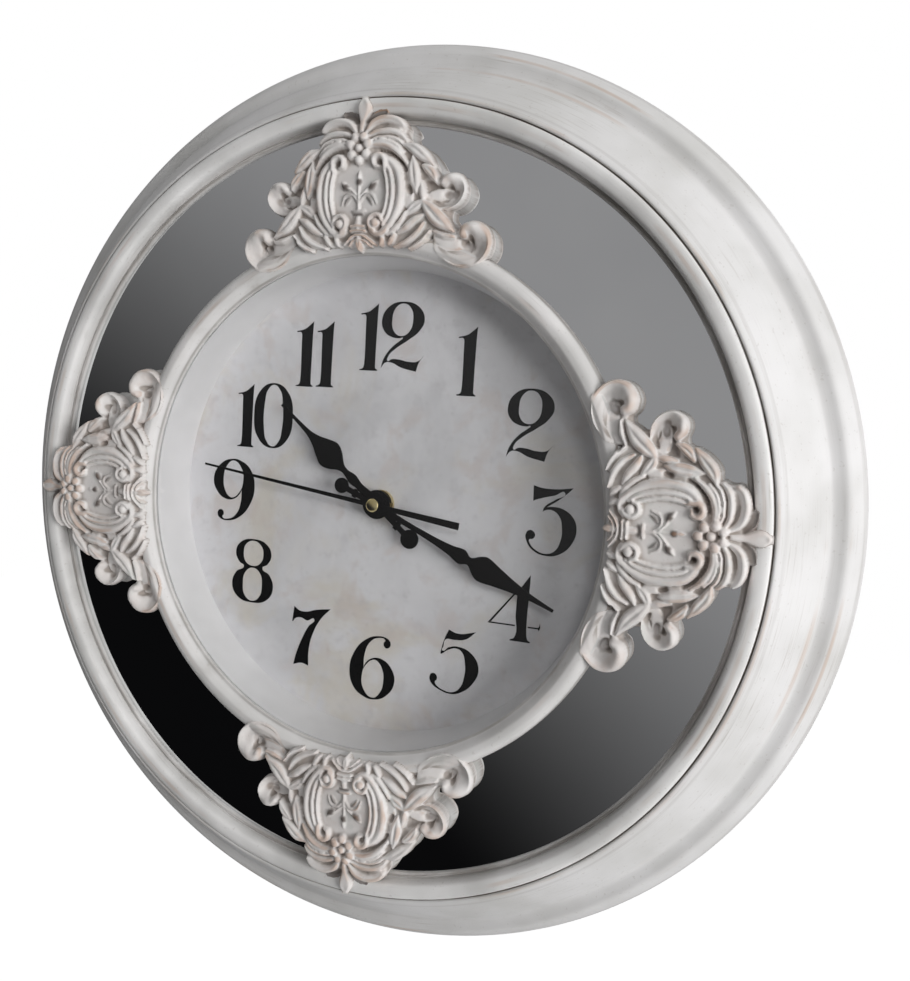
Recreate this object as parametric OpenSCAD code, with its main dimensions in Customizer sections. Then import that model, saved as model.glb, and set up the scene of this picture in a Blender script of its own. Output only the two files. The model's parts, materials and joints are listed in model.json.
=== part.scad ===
// Round wall clock with a mirror band, a moulded frame and four cast scroll ornaments.
// Every piece is drawn face up: X to the right, Y towards twelve o'clock, Z out of the wall.
// hung() then stands it up, so that the front looks along -Y and the hanging hole is the origin.

/* [Face rings] */
// Visible radius of the dial
dial_view_r = 102.3; // [95:0.1:110]
// Lean of the white wall between dial and glass
wall_lean = 3; // [1:0.1:5]
// Width of the dial bezel
bezel_w = 10.5; // [9:0.1:14]
// Visible width of the mirror band
mirror_view_w = 45.7; // [42:0.1:55]
// Width of the bead ring round the mirror
bead_w = 6.7; // [5.5:0.1:9]
// Width of the outer frame
frame_w = 31.8; // [30:0.1:40]

/* [Depths] */
// Free room between the wall and the movement
movement_gap = 3; // [2.6:0.1:6]
// Thickness of the movement case
movement_t = 14.5; // [14.5:0.1:17]
// Thickness of the rubber gasket
gasket_t = 1; // [0.5:0.1:2]
// Thickness of the dial pan's floor
pan_floor_t = 2.5; // [1.5:0.1:3]
// Thickness of the dial plate
dial_t = 2; // [1:0.1:2.5]
// Depth from the glass front down to the dial
dial_depth = 22; // [21:0.1:26]
// Thickness of the dial glass
glass_t = 2; // [1.5:0.1:3]
// Height of the mirror face above the dial
mirror_rise = 18.8; // [17:0.1:19.2]
// Thickness of the mirror
mirror_t = 3; // [2:0.1:4]
// Thickness of the board behind the mirror
board_t = 5; // [4:0.1:6]
// Height of the bezel crest above the mirror
bezel_h = 8; // [7:0.1:10]
// Height of the bead crest above the mirror
bead_h = 7.4; // [6:0.1:9]
// Height of the frame crest above the mirror
frame_h = 6; // [5:0.1:7]

/* [Frame moulding] */
// Width of the small inner fillet
fillet_w = 4.2; // [3.5:0.1:5]
// Width of the wide sloping face
slope_w = 13.6; // [12:0.1:16]
// Fall of the wide sloping face
slope_fall = 14.8; // [13:0.1:16]
// Width of the cove
cove_w = 7; // [6:0.1:8]
// Fall of the cove
cove_fall = 8; // [7:0.1:9]
// Thickness of the rim wall
rim_wall = 5; // [4:0.1:6]
// Thickness of the frame shell, measured straight back
shell_t = 6; // [5:0.1:7]
// Number of stiffening ribs
rib_count = 16; // [8:1:24]
// Thickness of a rib
rib_t = 2; // [1.5:0.1:3]

/* [Back] */
// Drop from the frame's edge to the hanging hole
hang_drop = 50; // [40:1:80]
// Thickness of the back panel
panel_t = 3; // [2:0.1:4]
// Thickness of the hanger plate
hanger_t = 2; // [1.5:0.1:2.4]
// Radius of the keyhole's round mouth
key_r = 4.5; // [4:0.1:5.5]
// Width of the keyhole's slot
key_slot = 4.6; // [4:0.1:5]
// Rise of the keyhole's slot above its mouth
key_rise = 9; // [7:0.5:12]
// Length of the hanger plate
hanger_l = 48; // [44:1:60]
// Height of the hanger plate
hanger_h = 34; // [30:1:40]
// Screws in each ring of screws at the back
screw_count = 8; // [6:1:12]

/* [Ornament] */
// Largest height of an ornament above the mirror
ornament_h = 15; // [13.5:0.1:17]
// Height of the scrolls above the mirror
scroll_h = 9.7; // [8.5:0.1:11]
// Distance from the bezel's edge to the middle of the medallion
ornament_rise = 12.7; // [12.2:0.1:13.2]
// Length of the unit that the casting is drawn in
cast_unit = 1; // [0.97:0.01:1.03]
// Radius of the large scrolls
scroll_big_r = 10.5; // [9.5:0.1:11]
// Radius of the small scrolls
scroll_small_r = 7.8; // [7:0.1:8.2]

/* [Hands] */
// Length of the hour hand
hour_l = 64.5; // [50:0.5:67]
// Length of the minute hand
minute_l = 91; // [80:1:96]
// Length of the second hand
second_l = 88; // [80:1:96]
// Length of the second hand's tail
second_tail = 41; // [30:1:50]
// Height of the hour hand above the dial
hour_rise = 5.3; // [5:0.1:6]
// Step from one hand to the next
hand_step = 2; // [1.8:0.1:2.6]
// Thickness of the sheet metal of the hands
hand_t = 0.6; // [0.4:0.05:0.7]
// Hour hand at rest, degrees clockwise from twelve
hour_at = 311; // [0:1:359]
// Minute hand at rest, degrees clockwise from twelve
minute_at = 115; // [0:1:359]
// Second hand at rest, degrees clockwise from twelve
second_at = 279; // [0:1:359]

/* [Movement] */
// Room inside the square movement case, for the wheels and the circuit
case_room = 53; // [53:1:60]
// Room for a contact at each end of the battery
contact_room = 2; // [1.8:0.1:4]
// Wall of the movement case
case_wall = 1.5; // [1.2:0.1:1.8]
// Radius of the threaded bush
bush_r = 4; // [3.9:0.1:4.5]
// Radius of the clamping nut
nut_r = 6.2; // [5.6:0.1:8]
// Height of the clamping nut
nut_h = 2.4; // [2:0.1:2.6]
// Radius of the battery
battery_r = 7; // [6.8:0.1:7]
// Length of the battery
battery_l = 49; // [47:0.5:50.5]
// Radius of the setting knob
knob_r = 5; // [4:0.1:6]
// Module of the setting wheels
motion_m = 0.45; // [0.43:0.01:0.47]
// Module of the third wheel
third_m = 0.3; // [0.29:0.01:0.31]
// Module of the fast wheels
fast_m = 0.25; // [0.24:0.01:0.26]
// Thickness of a wheel
wheel_t = 0.8; // [0.6:0.05:0.9]

/* [Fits] */
// Radial clearance of a shaft in its hole
run_gap = 0.05; // [0.03:0.01:0.08]
// Gap where one fixed piece sits beside another
seat_gap = 0.2; // [0.1:0.05:0.3]
// Gap between a casting and the rings that it reaches over
cast_gap = 0.65; // [0.6:0.05:1]

/* [Hidden] */
$fn = 96;

// Radii of the rings, from the hub out
lip_r = dial_view_r + wall_lean;
bezel_r = lip_r + bezel_w;
bead_r = bezel_r + mirror_view_w;
seam_r = bead_r + bead_w;
frame_r = seam_r + frame_w;
tube_wall = 2;
tube_in_r = lip_r + 1;
tube_r = tube_in_r + tube_wall;
mirror_in_r = tube_r + 3 * seat_gap;
mirror_lap = 2.2;
mirror_r = seam_r - mirror_lap;
ledge_w = 6;
board_r = seam_r + ledge_w;
panel_r = frame_r - rim_wall - 2 * seat_gap;
hang_rise = frame_r - hang_drop;
ornament_r = bezel_r + ornament_rise;

// Heights above the wall
case_z = movement_gap;
front_z = movement_gap + movement_t;
pan_z = front_z + gasket_t;
plate_z = pan_z + pan_floor_t;
dial_z = plate_z + dial_t;
glass_z = dial_z + dial_depth;
mirror_z = dial_z + mirror_rise;
seat_z = mirror_z - mirror_t;
board_z = seat_z - board_t;
flange_t = 3;
flange_z = board_z - flange_t;
frame_z = mirror_z + frame_h;
panel_z = hanger_t;
panel_front = panel_z + panel_t;

// Screws
frame_screw_r = (seam_r + board_r) / 2;
panel_screw_r = frame_r - rim_wall - 8;
flange_w = 11;
pan_screw_r = tube_r + flange_w / 2;
pan_screw_count = 6;
hanger_screw_x = hanger_l / 2 - 6;

// Stands a face-up piece on the wall, with the hanging hole at the origin
module hung() {
    translate([0, 0, -hang_rise]) rotate([90, 0, 0]) children();
}

// Places copies evenly on a circle, the first one half a step from twelve
module on_circle(r, count) {
    for (i = [0 : count - 1])
        rotate((i + 0.5) * 360 / count) translate([0, r, 0]) children();
}

// Points of a shallow arc from a to b, bulged to the left of the way by sag
function bow(a, b, sag, steps = 6) =
    let (d = b - a, n = [-d[1], d[0]] / norm(d))
    [for (i = [0 : steps]) let (k = i / steps) a + d * k + n * sag * 4 * k * (1 - k)];

// Points of a quarter ellipse about c, from angle a0 to a1
function arc(c, rx, ry, a0, a1, steps = 8) =
    [for (i = [0 : steps]) let (a = a0 + (a1 - a0) * i / steps) c + [rx * cos(a), ry * sin(a)]];

module ring(profile) {
    rotate_extrude() polygon(profile);
}

module tube(r_out, r_in, z0, z1) {
    translate([0, 0, z0]) difference() {
        cylinder(r = r_out, h = z1 - z0);
        translate([0, 0, -1]) cylinder(r = r_in, h = z1 - z0 + 2);
    }
}

module disc(r, z0, z1) {
    translate([0, 0, z0]) cylinder(r = r, h = z1 - z0);
}

// Flat sheet with round corners
module rounded(w, h, r) {
    square([w - 2 * r, h], center = true);
    square([w, h - 2 * r], center = true);
    for (x = [-1, 1], y = [-1, 1])
        translate([x * (w / 2 - r), y * (h / 2 - r)]) circle(r);
}

// Screw that goes in from behind: head below z, shank above it
module back_screw(z, head_r, head_h, shank_r, shank_l) {
    disc(head_r, z - head_h, z);
    disc(shank_r, z - head_h / 2, z + shank_l);
}

// Outer frame: a hollow moulding, open at the back, with ribs and screw bosses

frame_screw_shank = 1.45;
frame_screw_l = board_t + 5;
panel_screw_shank = 1.35;
panel_screw_l = panel_t + 9;
boss_r = 4;
crest_r = seam_r + fillet_w / 2;
slope_top = [seam_r + fillet_w + 0.3, frame_z - 1.4];
slope_end = slope_top + [slope_w, -slope_fall];
cove_end = slope_end + [cove_w, -cove_fall];
rim_step = 0.4;
rim_top = cove_end + [rim_step / 2, rim_step];
rim_line = [(rim_top[0] + frame_r) / 2, rim_top[1] - 2.4];
rim_edge = [frame_r, rim_top[1] - 7];
back_chamfer = 1.2;
rib_top = 1.5;

function frame_front() = concat(
    [[seam_r, seat_z]],
    arc([crest_r, frame_z - 1.5], fillet_w / 2, 1.5, 180, 30, 6),
    [[seam_r + fillet_w, slope_top[1] - 0.3]],
    bow(slope_top, slope_end, 0.9),
    bow(slope_end, cove_end, -1.4),
    [rim_top, rim_line, rim_line + [0.25, -0.55]],
    bow(rim_line + [0.5, -0.35], rim_edge, 0.6, 4),
    [[frame_r, back_chamfer], [frame_r - back_chamfer, 0]]);

// Inside of the shell, from the rim up to the ledge that takes the board
function frame_inside() = [
    [frame_r - rim_wall, 0],
    [frame_r - rim_wall, rim_edge[1] - 3],
    cove_end - [2, shell_t],
    slope_end - [2, shell_t],
    [board_r + seat_gap + 1.5, board_z + 1],
    [board_r + seat_gap, seat_z]];

module frame_rib() {
    rotate([90, 0, 0]) translate([0, 0, -rib_t / 2]) linear_extrude(rib_t)
        polygon([
            frame_inside()[1] + [rim_wall / 2, 0],
            cove_end - [1, shell_t / 2],
            slope_end - [1, shell_t / 2],
            frame_inside()[4] + [2, -1],
            frame_inside()[4] + [0.2, -3],
            slope_end - [2, shell_t + 6],
            [frame_r - rim_wall - 1, panel_front + rib_top],
            [frame_r - rim_wall / 2, panel_front + rib_top]]);
}

module outer_frame() {
    color("ivory") hung() difference() {
        union() {
            ring(concat(frame_front(), frame_inside()));
            on_circle(panel_screw_r, screw_count)
                disc(boss_r, panel_front, slope_end[1] - shell_t / 2);
            for (i = [0 : rib_count - 1])
                rotate((i + 0.25) * 360 / rib_count) frame_rib();
        }
        on_circle(panel_screw_r, screw_count)
            disc(panel_screw_shank + run_gap, panel_front - 1, panel_front + panel_screw_l);
        on_circle(frame_screw_r, screw_count)
            disc(frame_screw_shank + run_gap, seat_z - 1, board_z + frame_screw_l + seat_gap);
    }
}

// Bead ring: laps over the mirror's edge and stands on the board

bead_outer = seam_r - seat_gap;
bead_foot = 1.6;
bead_crest = bead_r + bead_w * 0.6;

function bead_profile() = concat(
    [[bead_r, mirror_z]],
    arc([bead_crest, mirror_z + bead_foot], bead_crest - bead_r, bead_h - bead_foot, 180, 90),
    [[bead_outer, mirror_z + bead_h - 0.7],
     [bead_outer, seat_z],
     [mirror_r + seat_gap, seat_z],
     [mirror_r + seat_gap, mirror_z]]);

module bead_ring() {
    color("ivory") hung() ring(bead_profile());
}

module mirror_glass() {
    color("silver") hung() tube(mirror_r, mirror_in_r, seat_z, mirror_z);
}

module mirror_board() {
    color("peru") hung() difference() {
        tube(board_r, mirror_in_r, board_z, seat_z);
        on_circle(frame_screw_r, screw_count)
            disc(frame_screw_shank + seat_gap, board_z - 1, seat_z + 1);
        on_circle(pan_screw_r, pan_screw_count)
            disc(pan_screw_shank + run_gap, board_z - 1, board_z + pan_screw_bite + seat_gap);
    }
}

module frame_screws() {
    color("silver") hung() on_circle(frame_screw_r, screw_count)
        back_screw(board_z, 2.8, 1.8, frame_screw_shank, frame_screw_l);
}

// Back panel with its window for the movement, and the keyhole hanger

inner_s = max(case_room, battery_l + 2 * contact_room);
case_s = inner_s + 2 * case_wall;
window_gap = 4;
window_s = case_s + 2 * window_gap;
head_room = 3.5;

module back_panel() {
    color("tan") hung() translate([0, 0, panel_z]) linear_extrude(panel_t) difference() {
        circle(panel_r);
        rounded(window_s, window_s, 6);
        on_circle(panel_screw_r, screw_count) circle(panel_screw_shank + seat_gap);
        translate([0, hang_rise]) {
            circle(key_r + head_room);
            translate([-key_r - head_room, 0]) square([2 * (key_r + head_room), key_rise]);
            translate([0, key_rise]) circle(key_r + head_room);
            for (x = [-1, 1]) translate([x * hanger_screw_x, 0]) circle(hanger_shank + run_gap);
        }
    }
}

module panel_screws() {
    color("silver") hung() on_circle(panel_screw_r, screw_count)
        back_screw(panel_z, 3, hanger_t - seat_gap, panel_screw_shank, panel_screw_l);
}

hanger_shank = 1.3;
hanger_head = 2.8;
hanger_up = 6;

module hanger_sink(gap) {
    cylinder(r1 = hanger_head + gap, r2 = hanger_shank + gap, h = hanger_head - hanger_shank);
}

module hanger_plate() {
    color("silver") hung() translate([0, hang_rise, 0]) difference() {
        translate([0, hanger_up, 0]) linear_extrude(hanger_t) rounded(hanger_l, hanger_h, 4);
        disc(key_r, -1, hanger_t + 1);
        translate([-key_slot / 2, 0, -1]) cube([key_slot, key_rise, hanger_t + 2]);
        translate([0, key_rise, 0]) disc(key_slot / 2, -1, hanger_t + 1);
        for (x = [-1, 1]) translate([x * hanger_screw_x, 0, 0]) {
            disc(hanger_shank + run_gap, -1, hanger_t + 1);
            hanger_sink(run_gap);
        }
    }
}

module hanger_screws() {
    color("gray") hung() translate([0, hang_rise, 0])
        for (x = [-1, 1]) translate([x * hanger_screw_x, 0, 0]) {
            hanger_sink(0);
            disc(hanger_shank, 0, panel_front);
        }
}

// Dial pan: cup behind the mirror board that carries dial, wall and glass

pan_screw_shank = 1.2;
pan_screw_bite = 3.6;

module dial_pan() {
    color("white") hung() difference() {
        ring([[0, pan_z], [tube_r, pan_z], [tube_r, flange_z], [tube_r + flange_w, flange_z],
              [tube_r + flange_w, board_z], [tube_r, board_z], [tube_r, glass_z - glass_t],
              [tube_in_r, glass_z - glass_t], [tube_in_r, plate_z], [0, plate_z]]);
        disc(bush_r + seat_gap, pan_z - 1, plate_z + 1);
        on_circle(pan_screw_r, pan_screw_count)
            disc(pan_screw_shank + seat_gap, flange_z - 1, board_z + 1);
    }
}

module pan_screws() {
    color("silver") hung() on_circle(pan_screw_r, pan_screw_count)
        back_screw(flange_z, 2.4, 1.6, pan_screw_shank, flange_t + pan_screw_bite);
}

module reflector_ring() {
    color("white") hung()
        ring([[dial_view_r, dial_z], [tube_in_r - seat_gap, dial_z],
              [tube_in_r - seat_gap, glass_z - glass_t], [lip_r, glass_z - glass_t]]);
}

module dial_plate() {
    color("lightgray") hung() tube(tube_in_r - seat_gap, bush_r + seat_gap, plate_z, dial_z);
}

module dial_glass() {
    color("lightcyan", 0.3) hung() disc(tube_r, glass_z - glass_t, glass_z);
}

// Dial bezel: half round ring on the mirror, with a lip that holds the glass

lip_h = 1.7;
quirk = 0.35;
bezel_crest = lip_r + bezel_w * 0.48;
bezel_skirt = 2;

function bezel_profile(grow = 0) = concat(
    [[lip_r - grow, glass_z], [lip_r - grow, glass_z + lip_h - 0.6], [lip_r + 0.6, glass_z + lip_h + grow],
     [lip_r + 1.7, glass_z + lip_h + quirk + grow], [lip_r + 2, glass_z + lip_h + grow]],
    bow([lip_r + 2.3, glass_z + lip_h + 0.5 + grow], [bezel_crest, mirror_z + bezel_h + grow], 0.5, 4),
    arc([bezel_crest, mirror_z + bezel_skirt], bezel_r - bezel_crest + grow,
        bezel_h - bezel_skirt + grow, 80, 0),
    [[bezel_r + grow, mirror_z], [tube_r + seat_gap, mirror_z], [tube_r + seat_gap, glass_z]]);

module dial_bezel() {
    color("ivory") hung() ring(bezel_profile());
}

// Cast ornament: leaves, fan and scrolls, drawn with the hub below and the mirror at height zero.
// Each form is a ridge swept along a curve, with a rounded or a dished back.

leaf_back = [[-1, 0], [-0.72, 0.72], [0, 1], [0.72, 0.72], [1, 0]];
blade_back = [[-1, 0], [-0.35, 1], [0.5, 0.9], [1, 0]];
scroll_back = [[-1, 0], [-0.92, 1], [0.1, 0.8], [0.9, 0.94], [1, 0]];

function bend(a, b, c, k) = a * (1 - k) * (1 - k) + b * 2 * k * (1 - k) + c * k * k;
function heading(path, i) =
    let (n = len(path), d = path[min(i + 1, n - 1)] - path[max(i - 1, 0)]) d / norm(d);

// Ridge along a path, with a half width and a height at each of its points, on a base height
module ridge(path, half, height, back, base = 0) {
    n = len(path);
    m = len(back);
    rings = [for (i = [0 : n - 1], p = back)
        let (d = heading(path, i), q = path[i] + [-d[1], d[0]] * -half[i] * p[0])
        [q[0], q[1], base + (height[i] - base) * p[1]]];
    sides = [for (i = [0 : n - 2], j = [0 : m - 1])
        let (a = i * m + j, b = i * m + (j + 1) % m)
        each [[a, b + m, b], [a, a + m, b + m]]];
    first = [for (j = [1 : m - 2]) [0, j, j + 1]];
    last = [for (j = [1 : m - 2]) [(n - 1) * m, (n - 1) * m + j + 1, (n - 1) * m + j]];
    polyhedron(rings, concat(sides, first, last));
}

// Leaf from its root over a bend to its tip, all in casting units
leaf_steps = 3;
leaf_half = [0.62, 1, 0.94, 0.34];
leaf_rise = [0.9, 1, 0.98, 0.84];

module leaf(root, mid, tip, half, height, base = 0) {
    ridge([for (i = [0 : leaf_steps]) bend(root, mid, tip, i / leaf_steps) * cast_unit],
          leaf_half * half * cast_unit, leaf_rise * height, base > 0 ? blade_back : leaf_back, base);
}

// C scroll: the stem comes in from the left, runs round the bottom and curls up into the eye
scroll_steps = 9;
scroll_turn = 345;
scroll_start = 185;

module scroll(eye, r, stem) {
    band = r * 0.34;
    path = [for (i = [0 : scroll_steps])
        let (k = i / scroll_steps, a = scroll_start + scroll_turn * k, s = (r - band) * (1 - 0.45 * k * k))
        eye * cast_unit + s * [cos(a), sin(a)]];
    ridge(concat([stem * cast_unit], path),
          concat([band * 0.8], [for (i = [0 : scroll_steps]) band * (1 - 0.25 * pow(i / scroll_steps, 2))]),
          [for (i = [0 : scroll_steps + 1]) scroll_h], scroll_back);
}

// Rounded boss
module dome(c, r, h, base = 0) {
    translate([c[0] * cast_unit, c[1] * cast_unit, base]) hull() {
        cylinder(r = r, h = h - base - r * 0.5, $fn = 6);
        cylinder(r = r * 0.5, h = h - base, $fn = 6);
    }
}

// C ridge of the medallion
ridge_reach = 60;
ridge_steps = 6;
module c_ridge(rx, ry, half, height, base) {
    path = [for (i = [0 : ridge_steps])
        let (a = ridge_reach - 2 * ridge_reach * i / ridge_steps) [rx * cos(a), ry * sin(a)] * cast_unit];
    ridge(path, [for (i = path) half], [for (i = path) height], blade_back, base);
}

web_h = ornament_h * 0.5;
field_h = ornament_h * 0.84;
leaf_h = ornament_h * 0.67;
sunk = web_h - 1;
inner_ridge = [14, 14.3];
outer_ridge = [18.2, 18];
ridge_half = 1.9;
eye_half = 2.8;

// One half of the casting, measured from the middle of the medallion
module ornament_half() {
    // Fan above the medallion
    leaf([1.5, 23], [4.5, 32], [9.3, 34.2], 2.6, leaf_h * 0.84);
    leaf([2.5, 22], [8, 33.4], [18, 26.6], 3, leaf_h * 1.06);
    leaf([4, 20], [11, 29], [19.3, 21.5], 2.8, leaf_h * 1.13);
    leaf([6.5, 17], [14, 21.5], [20.5, 12.5], 2.4, leaf_h * 1.26, sunk);
    // Upper braid, down to the small scroll
    leaf([18, 19], [27, 16.4], [33, 7], 3.5, leaf_h);
    leaf([25, 9], [32, 10.5], [34.5, 2.5], 2.8, leaf_h * 0.95);
    leaf([24.5, -1], [20.5, 5], [22.5, 12.5], 3, leaf_h * 1.05, sunk);
    // Lower braid, down to the large scroll
    leaf([25.5, -3], [34, -6], [39, -15], 3.6, leaf_h);
    leaf([29, -10.5], [37, -11.5], [42, -18], 2.8, leaf_h * 0.96);
    // Blades that spread over the bezel
    leaf([27.5, -3], [22, -6], [16.5, -11.5], 2.8, leaf_h * 1.1, sunk);
    leaf([28, -8.5], [22, -12], [14, -17], 2.8, leaf_h * 1.1, sunk);
    leaf([29.5, -13], [26, -19], [17, -20.8], 2.6, leaf_h * 1.06, sunk);
    leaf([2, -12], [6, -15], [9.5, -20.5], 2.4, leaf_h * 1.15, sunk);
    // Medallion ridges with their eyes
    c_ridge(outer_ridge[0], outer_ridge[1], ridge_half, ornament_h * 0.9, sunk);
    c_ridge(inner_ridge[0], inner_ridge[1], ridge_half, ornament_h * 0.97, sunk);
    dome([8.3, 12.8], eye_half, ornament_h * 0.97, sunk);
    dome([8, -13.2], eye_half, ornament_h * 0.95, sunk);
    // Scrolls
    scroll([45.6, -20], scroll_big_r, [33.5, -9]);
    scroll([38, 0.5], scroll_small_r, [28.5, -3]);
}

// Web of the casting, which joins all its forms behind
module ornament_web() {
    half = [[0, 33], [14, 28.5], [19, 20], [31, 9], [27, 0], [38, -13], [30, -15], [16, -12.6], [0, -11.6]];
    linear_extrude(web_h)
        polygon(cast_unit * concat(half, [for (i = [len(half) - 2 : -1 : 1]) [-half[i][0], half[i][1]]]));
}

module ornament_form() {
    translate([0, ornament_r, 0]) {
        ornament_web();
        translate([0, 0, sunk]) linear_extrude(field_h - sunk)
            polygon(cast_unit * arc([0, 0], inner_ridge[0], inner_ridge[1], 0, 337.5, 15));
        ornament_half();
        mirror([1, 0, 0]) ornament_half();
        leaf([0, 20.5], [0, 30], [0, 38.4], 3.6, leaf_h);
        leaf([0, -11.5], [0, -17], [0, -22.3], 2.5, leaf_h * 1.2, sunk);
        for (i = [0 : 4])
            dome([0, 18.6] + 3 * [sin(72 * i), cos(72 * i)], 2, ornament_h * 0.93, sunk);
        dome([0, 18.6], 1.8, ornament_h, sunk);
    }
}

// The casting stands on the mirror and is hollowed to clear the bezel and the bead ring
cut_fn = 48;
module ornament(turn) {
    color("snow") hung() rotate(-turn) difference() {
        translate([0, 0, mirror_z]) ornament_form();
        rotate_extrude($fn = cut_fn) polygon(concat(
            [[0, 0], [0, glass_z + lip_h + cast_gap], [lip_r - 4, glass_z + lip_h + cast_gap]],
            arc([bezel_crest, mirror_z + bezel_skirt], bezel_r - bezel_crest + cast_gap,
                bezel_h - bezel_skirt + cast_gap, 140, 0, 4),
            [[bezel_r + cast_gap, 0]]));
        rotate_extrude($fn = cut_fn) polygon(concat(
            [[bead_r - cast_gap, 0]],
            arc([bead_crest, mirror_z + bead_foot], bead_crest - bead_r + cast_gap,
                bead_h - bead_foot + cast_gap, 180, 90, 3),
            [[seam_r + 9, mirror_z + bead_h + cast_gap], [seam_r + 9, 0]]));
    }
}

module ornament_top() ornament(0);
module ornament_right() ornament(90);
module ornament_bottom() ornament(180);
module ornament_left() ornament(270);

// Hands: flat sheet outlines, given as half widths along the length

function slope(p, i) =
    let (a = p[max(i - 1, 0)], b = p[min(i + 1, len(p) - 1)]) (b[1] - a[1]) / (b[0] - a[0]);
function half_at(p, y) =
    let (i = max([for (j = [0 : len(p) - 2]) if (p[j][0] <= y) j]),
         h = p[i + 1][0] - p[i][0], k = (y - p[i][0]) / h, e = k * k * (3 - 2 * k))
    p[i][1] + (p[i + 1][1] - p[i][1]) * e
        + h * k * (1 - k) * (slope(p, i) * (1 - k) - slope(p, i + 1) * k);

// Sheet outline from its profile, as a smooth curve through its points
hand_steps = 4;
module hand_sheet(profile) {
    last = len(profile) - 1;
    ys = [for (i = [0 : last - 1], j = [0 : hand_steps - 1])
        profile[i][0] + (profile[i + 1][0] - profile[i][0]) * j / hand_steps];
    right = concat([for (y = ys) [half_at(profile, y), y]], [[profile[last][1], profile[last][0]]]);
    polygon(concat(right, [for (i = [len(right) - 1 : -1 : 0]) [-right[i][0], right[i][1]]]));
}

hour_z = dial_z + hour_rise;
minute_z = hour_z + hand_step;
second_z = minute_z + hand_step;
hand_boss = 0.8;
hour_boss_r = 6.4;
minute_boss_r = 5.6;
tip_half = 0.6;

// Collar, pear-shaped spade and needle tip of the hour hand
function hour_profile() = [for (p = [
    [0, 3.4], [0.17, 1.6], [0.25, 2.3], [0.32, 1.3], [0.37, 2], [0.43, 5], [0.495, 6.5],
    [0.56, 5], [0.64, 2.5], [0.73, 1.1], [1, tip_half]]) [p[0] * hour_l, p[1]]];
tail_ball = 4.2;
hour_tail = 21.5;

// Slim shaft, collar, neck and long spade of the minute hand
function minute_profile() = [for (p = [
    [0, 3], [0.13, 1.3], [0.33, 1.4], [0.44, 2.2], [0.505, 3.3], [0.545, 1.7], [0.585, 4.3], [0.62, 5.6],
    [0.69, 4.3], [0.79, 2.4], [0.89, 1.2], [1, tip_half]]) [p[0] * minute_l, p[1]]];
minute_ball = 3.4;
minute_tail = 18;

module hand_tail(length, ball) {
    translate([-1.2, -length]) square([2.4, length]);
    translate([-1.9, -length + ball + 3]) square([3.8, 2]);
    translate([0, -length]) circle(ball);
}

module hour_hand() {
    color("black") hung() rotate(-hour_at) difference() {
        union() {
            translate([0, 0, hour_z]) linear_extrude(hand_t) {
                hand_sheet(hour_profile());
                hand_tail(hour_tail, tail_ball);
                circle(hour_boss_r);
            }
            disc(hour_boss_r * 0.7, hour_z - hand_boss, hour_z + hand_t);
        }
        disc(hour_pipe_r + run_gap, hour_z - 2, hour_z + 2);
    }
}

module minute_hand() {
    color("black") hung() rotate(-minute_at) difference() {
        union() {
            translate([0, 0, minute_z]) linear_extrude(hand_t) {
                hand_sheet(minute_profile());
                hand_tail(minute_tail, minute_ball);
                circle(minute_boss_r);
            }
            disc(minute_boss_r * 0.6, minute_z - hand_boss, minute_z + hand_t);
        }
        disc(minute_pipe_r + run_gap, minute_z - 2, minute_z + 2);
    }
}

second_half = 0.45;
tail_half = 1.55;
second_boss_r = 3.6;
cap_r = 3;
cap_h = 1;
cap_pipe = 1.3;

module second_hand() {
    color("black") hung() rotate(-second_at) translate([0, 0, second_z]) linear_extrude(hand_t * 0.7)
        difference() {
            union() {
                polygon([[-tail_half, -second_tail], [tail_half, -second_tail], [tail_half * 0.65, 0],
                         [second_half, second_l], [-second_half, second_l], [-tail_half * 0.65, 0]]);
                circle(second_boss_r);
            }
            circle(cap_pipe + run_gap);
        }
}

// Brass cap whose pipe carries the second hand on the arbor
module second_cap() {
    color("goldenrod") hung() {
        difference() {
            union() {
                disc(cap_pipe, second_z - 0.6, second_z + hand_t);
                ring([[0, second_z + hand_t * 0.7], [cap_r, second_z + hand_t * 0.7],
                      [cap_r, second_z + hand_t * 0.7 + cap_h * 0.5],
                      [cap_r * 0.7, second_z + hand_t * 0.7 + cap_h],
                      [0, second_z + hand_t * 0.7 + cap_h]]);
            }
            disc(arbor_r + run_gap, second_z - 2, second_z + hand_t * 0.7 + 0.3);
        }
    }
}

// Movement: square case with bush, train of wheels, motor and battery

cover_t = 1.5;
cavity_z = case_z + cover_t;
ceiling_z = front_z - case_wall;
bay_h = 2 * battery_r + 1;
divider_t = 1;
bay_y = -case_s / 2 + case_wall + bay_h;
train_y = bay_y + divider_t;
battery_y = bay_y - bay_h / 2;
battery_z = ceiling_z - battery_r - run_gap;

// Shafts and pipes
arbor_r = 0.5;
pivot_r = 0.4;
pivot_bite = 0.8;
stem_r = 0.9;
minute_pipe_r = 1.6;
hour_pipe_r = 2.5;
bush_in_r = hour_pipe_r + run_gap;

// Heights of the wheels, from the cover forward
step = wheel_t + 0.4;
fast_z = cavity_z + 0.7;
second_wheel_z = fast_z + step + 0.4;
third_z = second_wheel_z + step;
bridge_z = third_z + step + 0.1;
bridge_t = 0.8;
centre_z = bridge_z + bridge_t + 0.5;
cannon_z = centre_z + step + 0.2;
hour_wheel_z = cannon_z + step + 0.2;

// Teeth of the wheels and pinions
rotor_teeth = 10;
fifth_teeth = 50;
fifth_pinion = 10;
second_teeth = 60;
second_pinion = 8;
third_teeth = 60;
third_pinion = 8;
centre_teeth = 64;
cannon_teeth = 12;
minute_teeth = 36;
minute_pinion = 10;
hour_teeth = 40;

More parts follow.
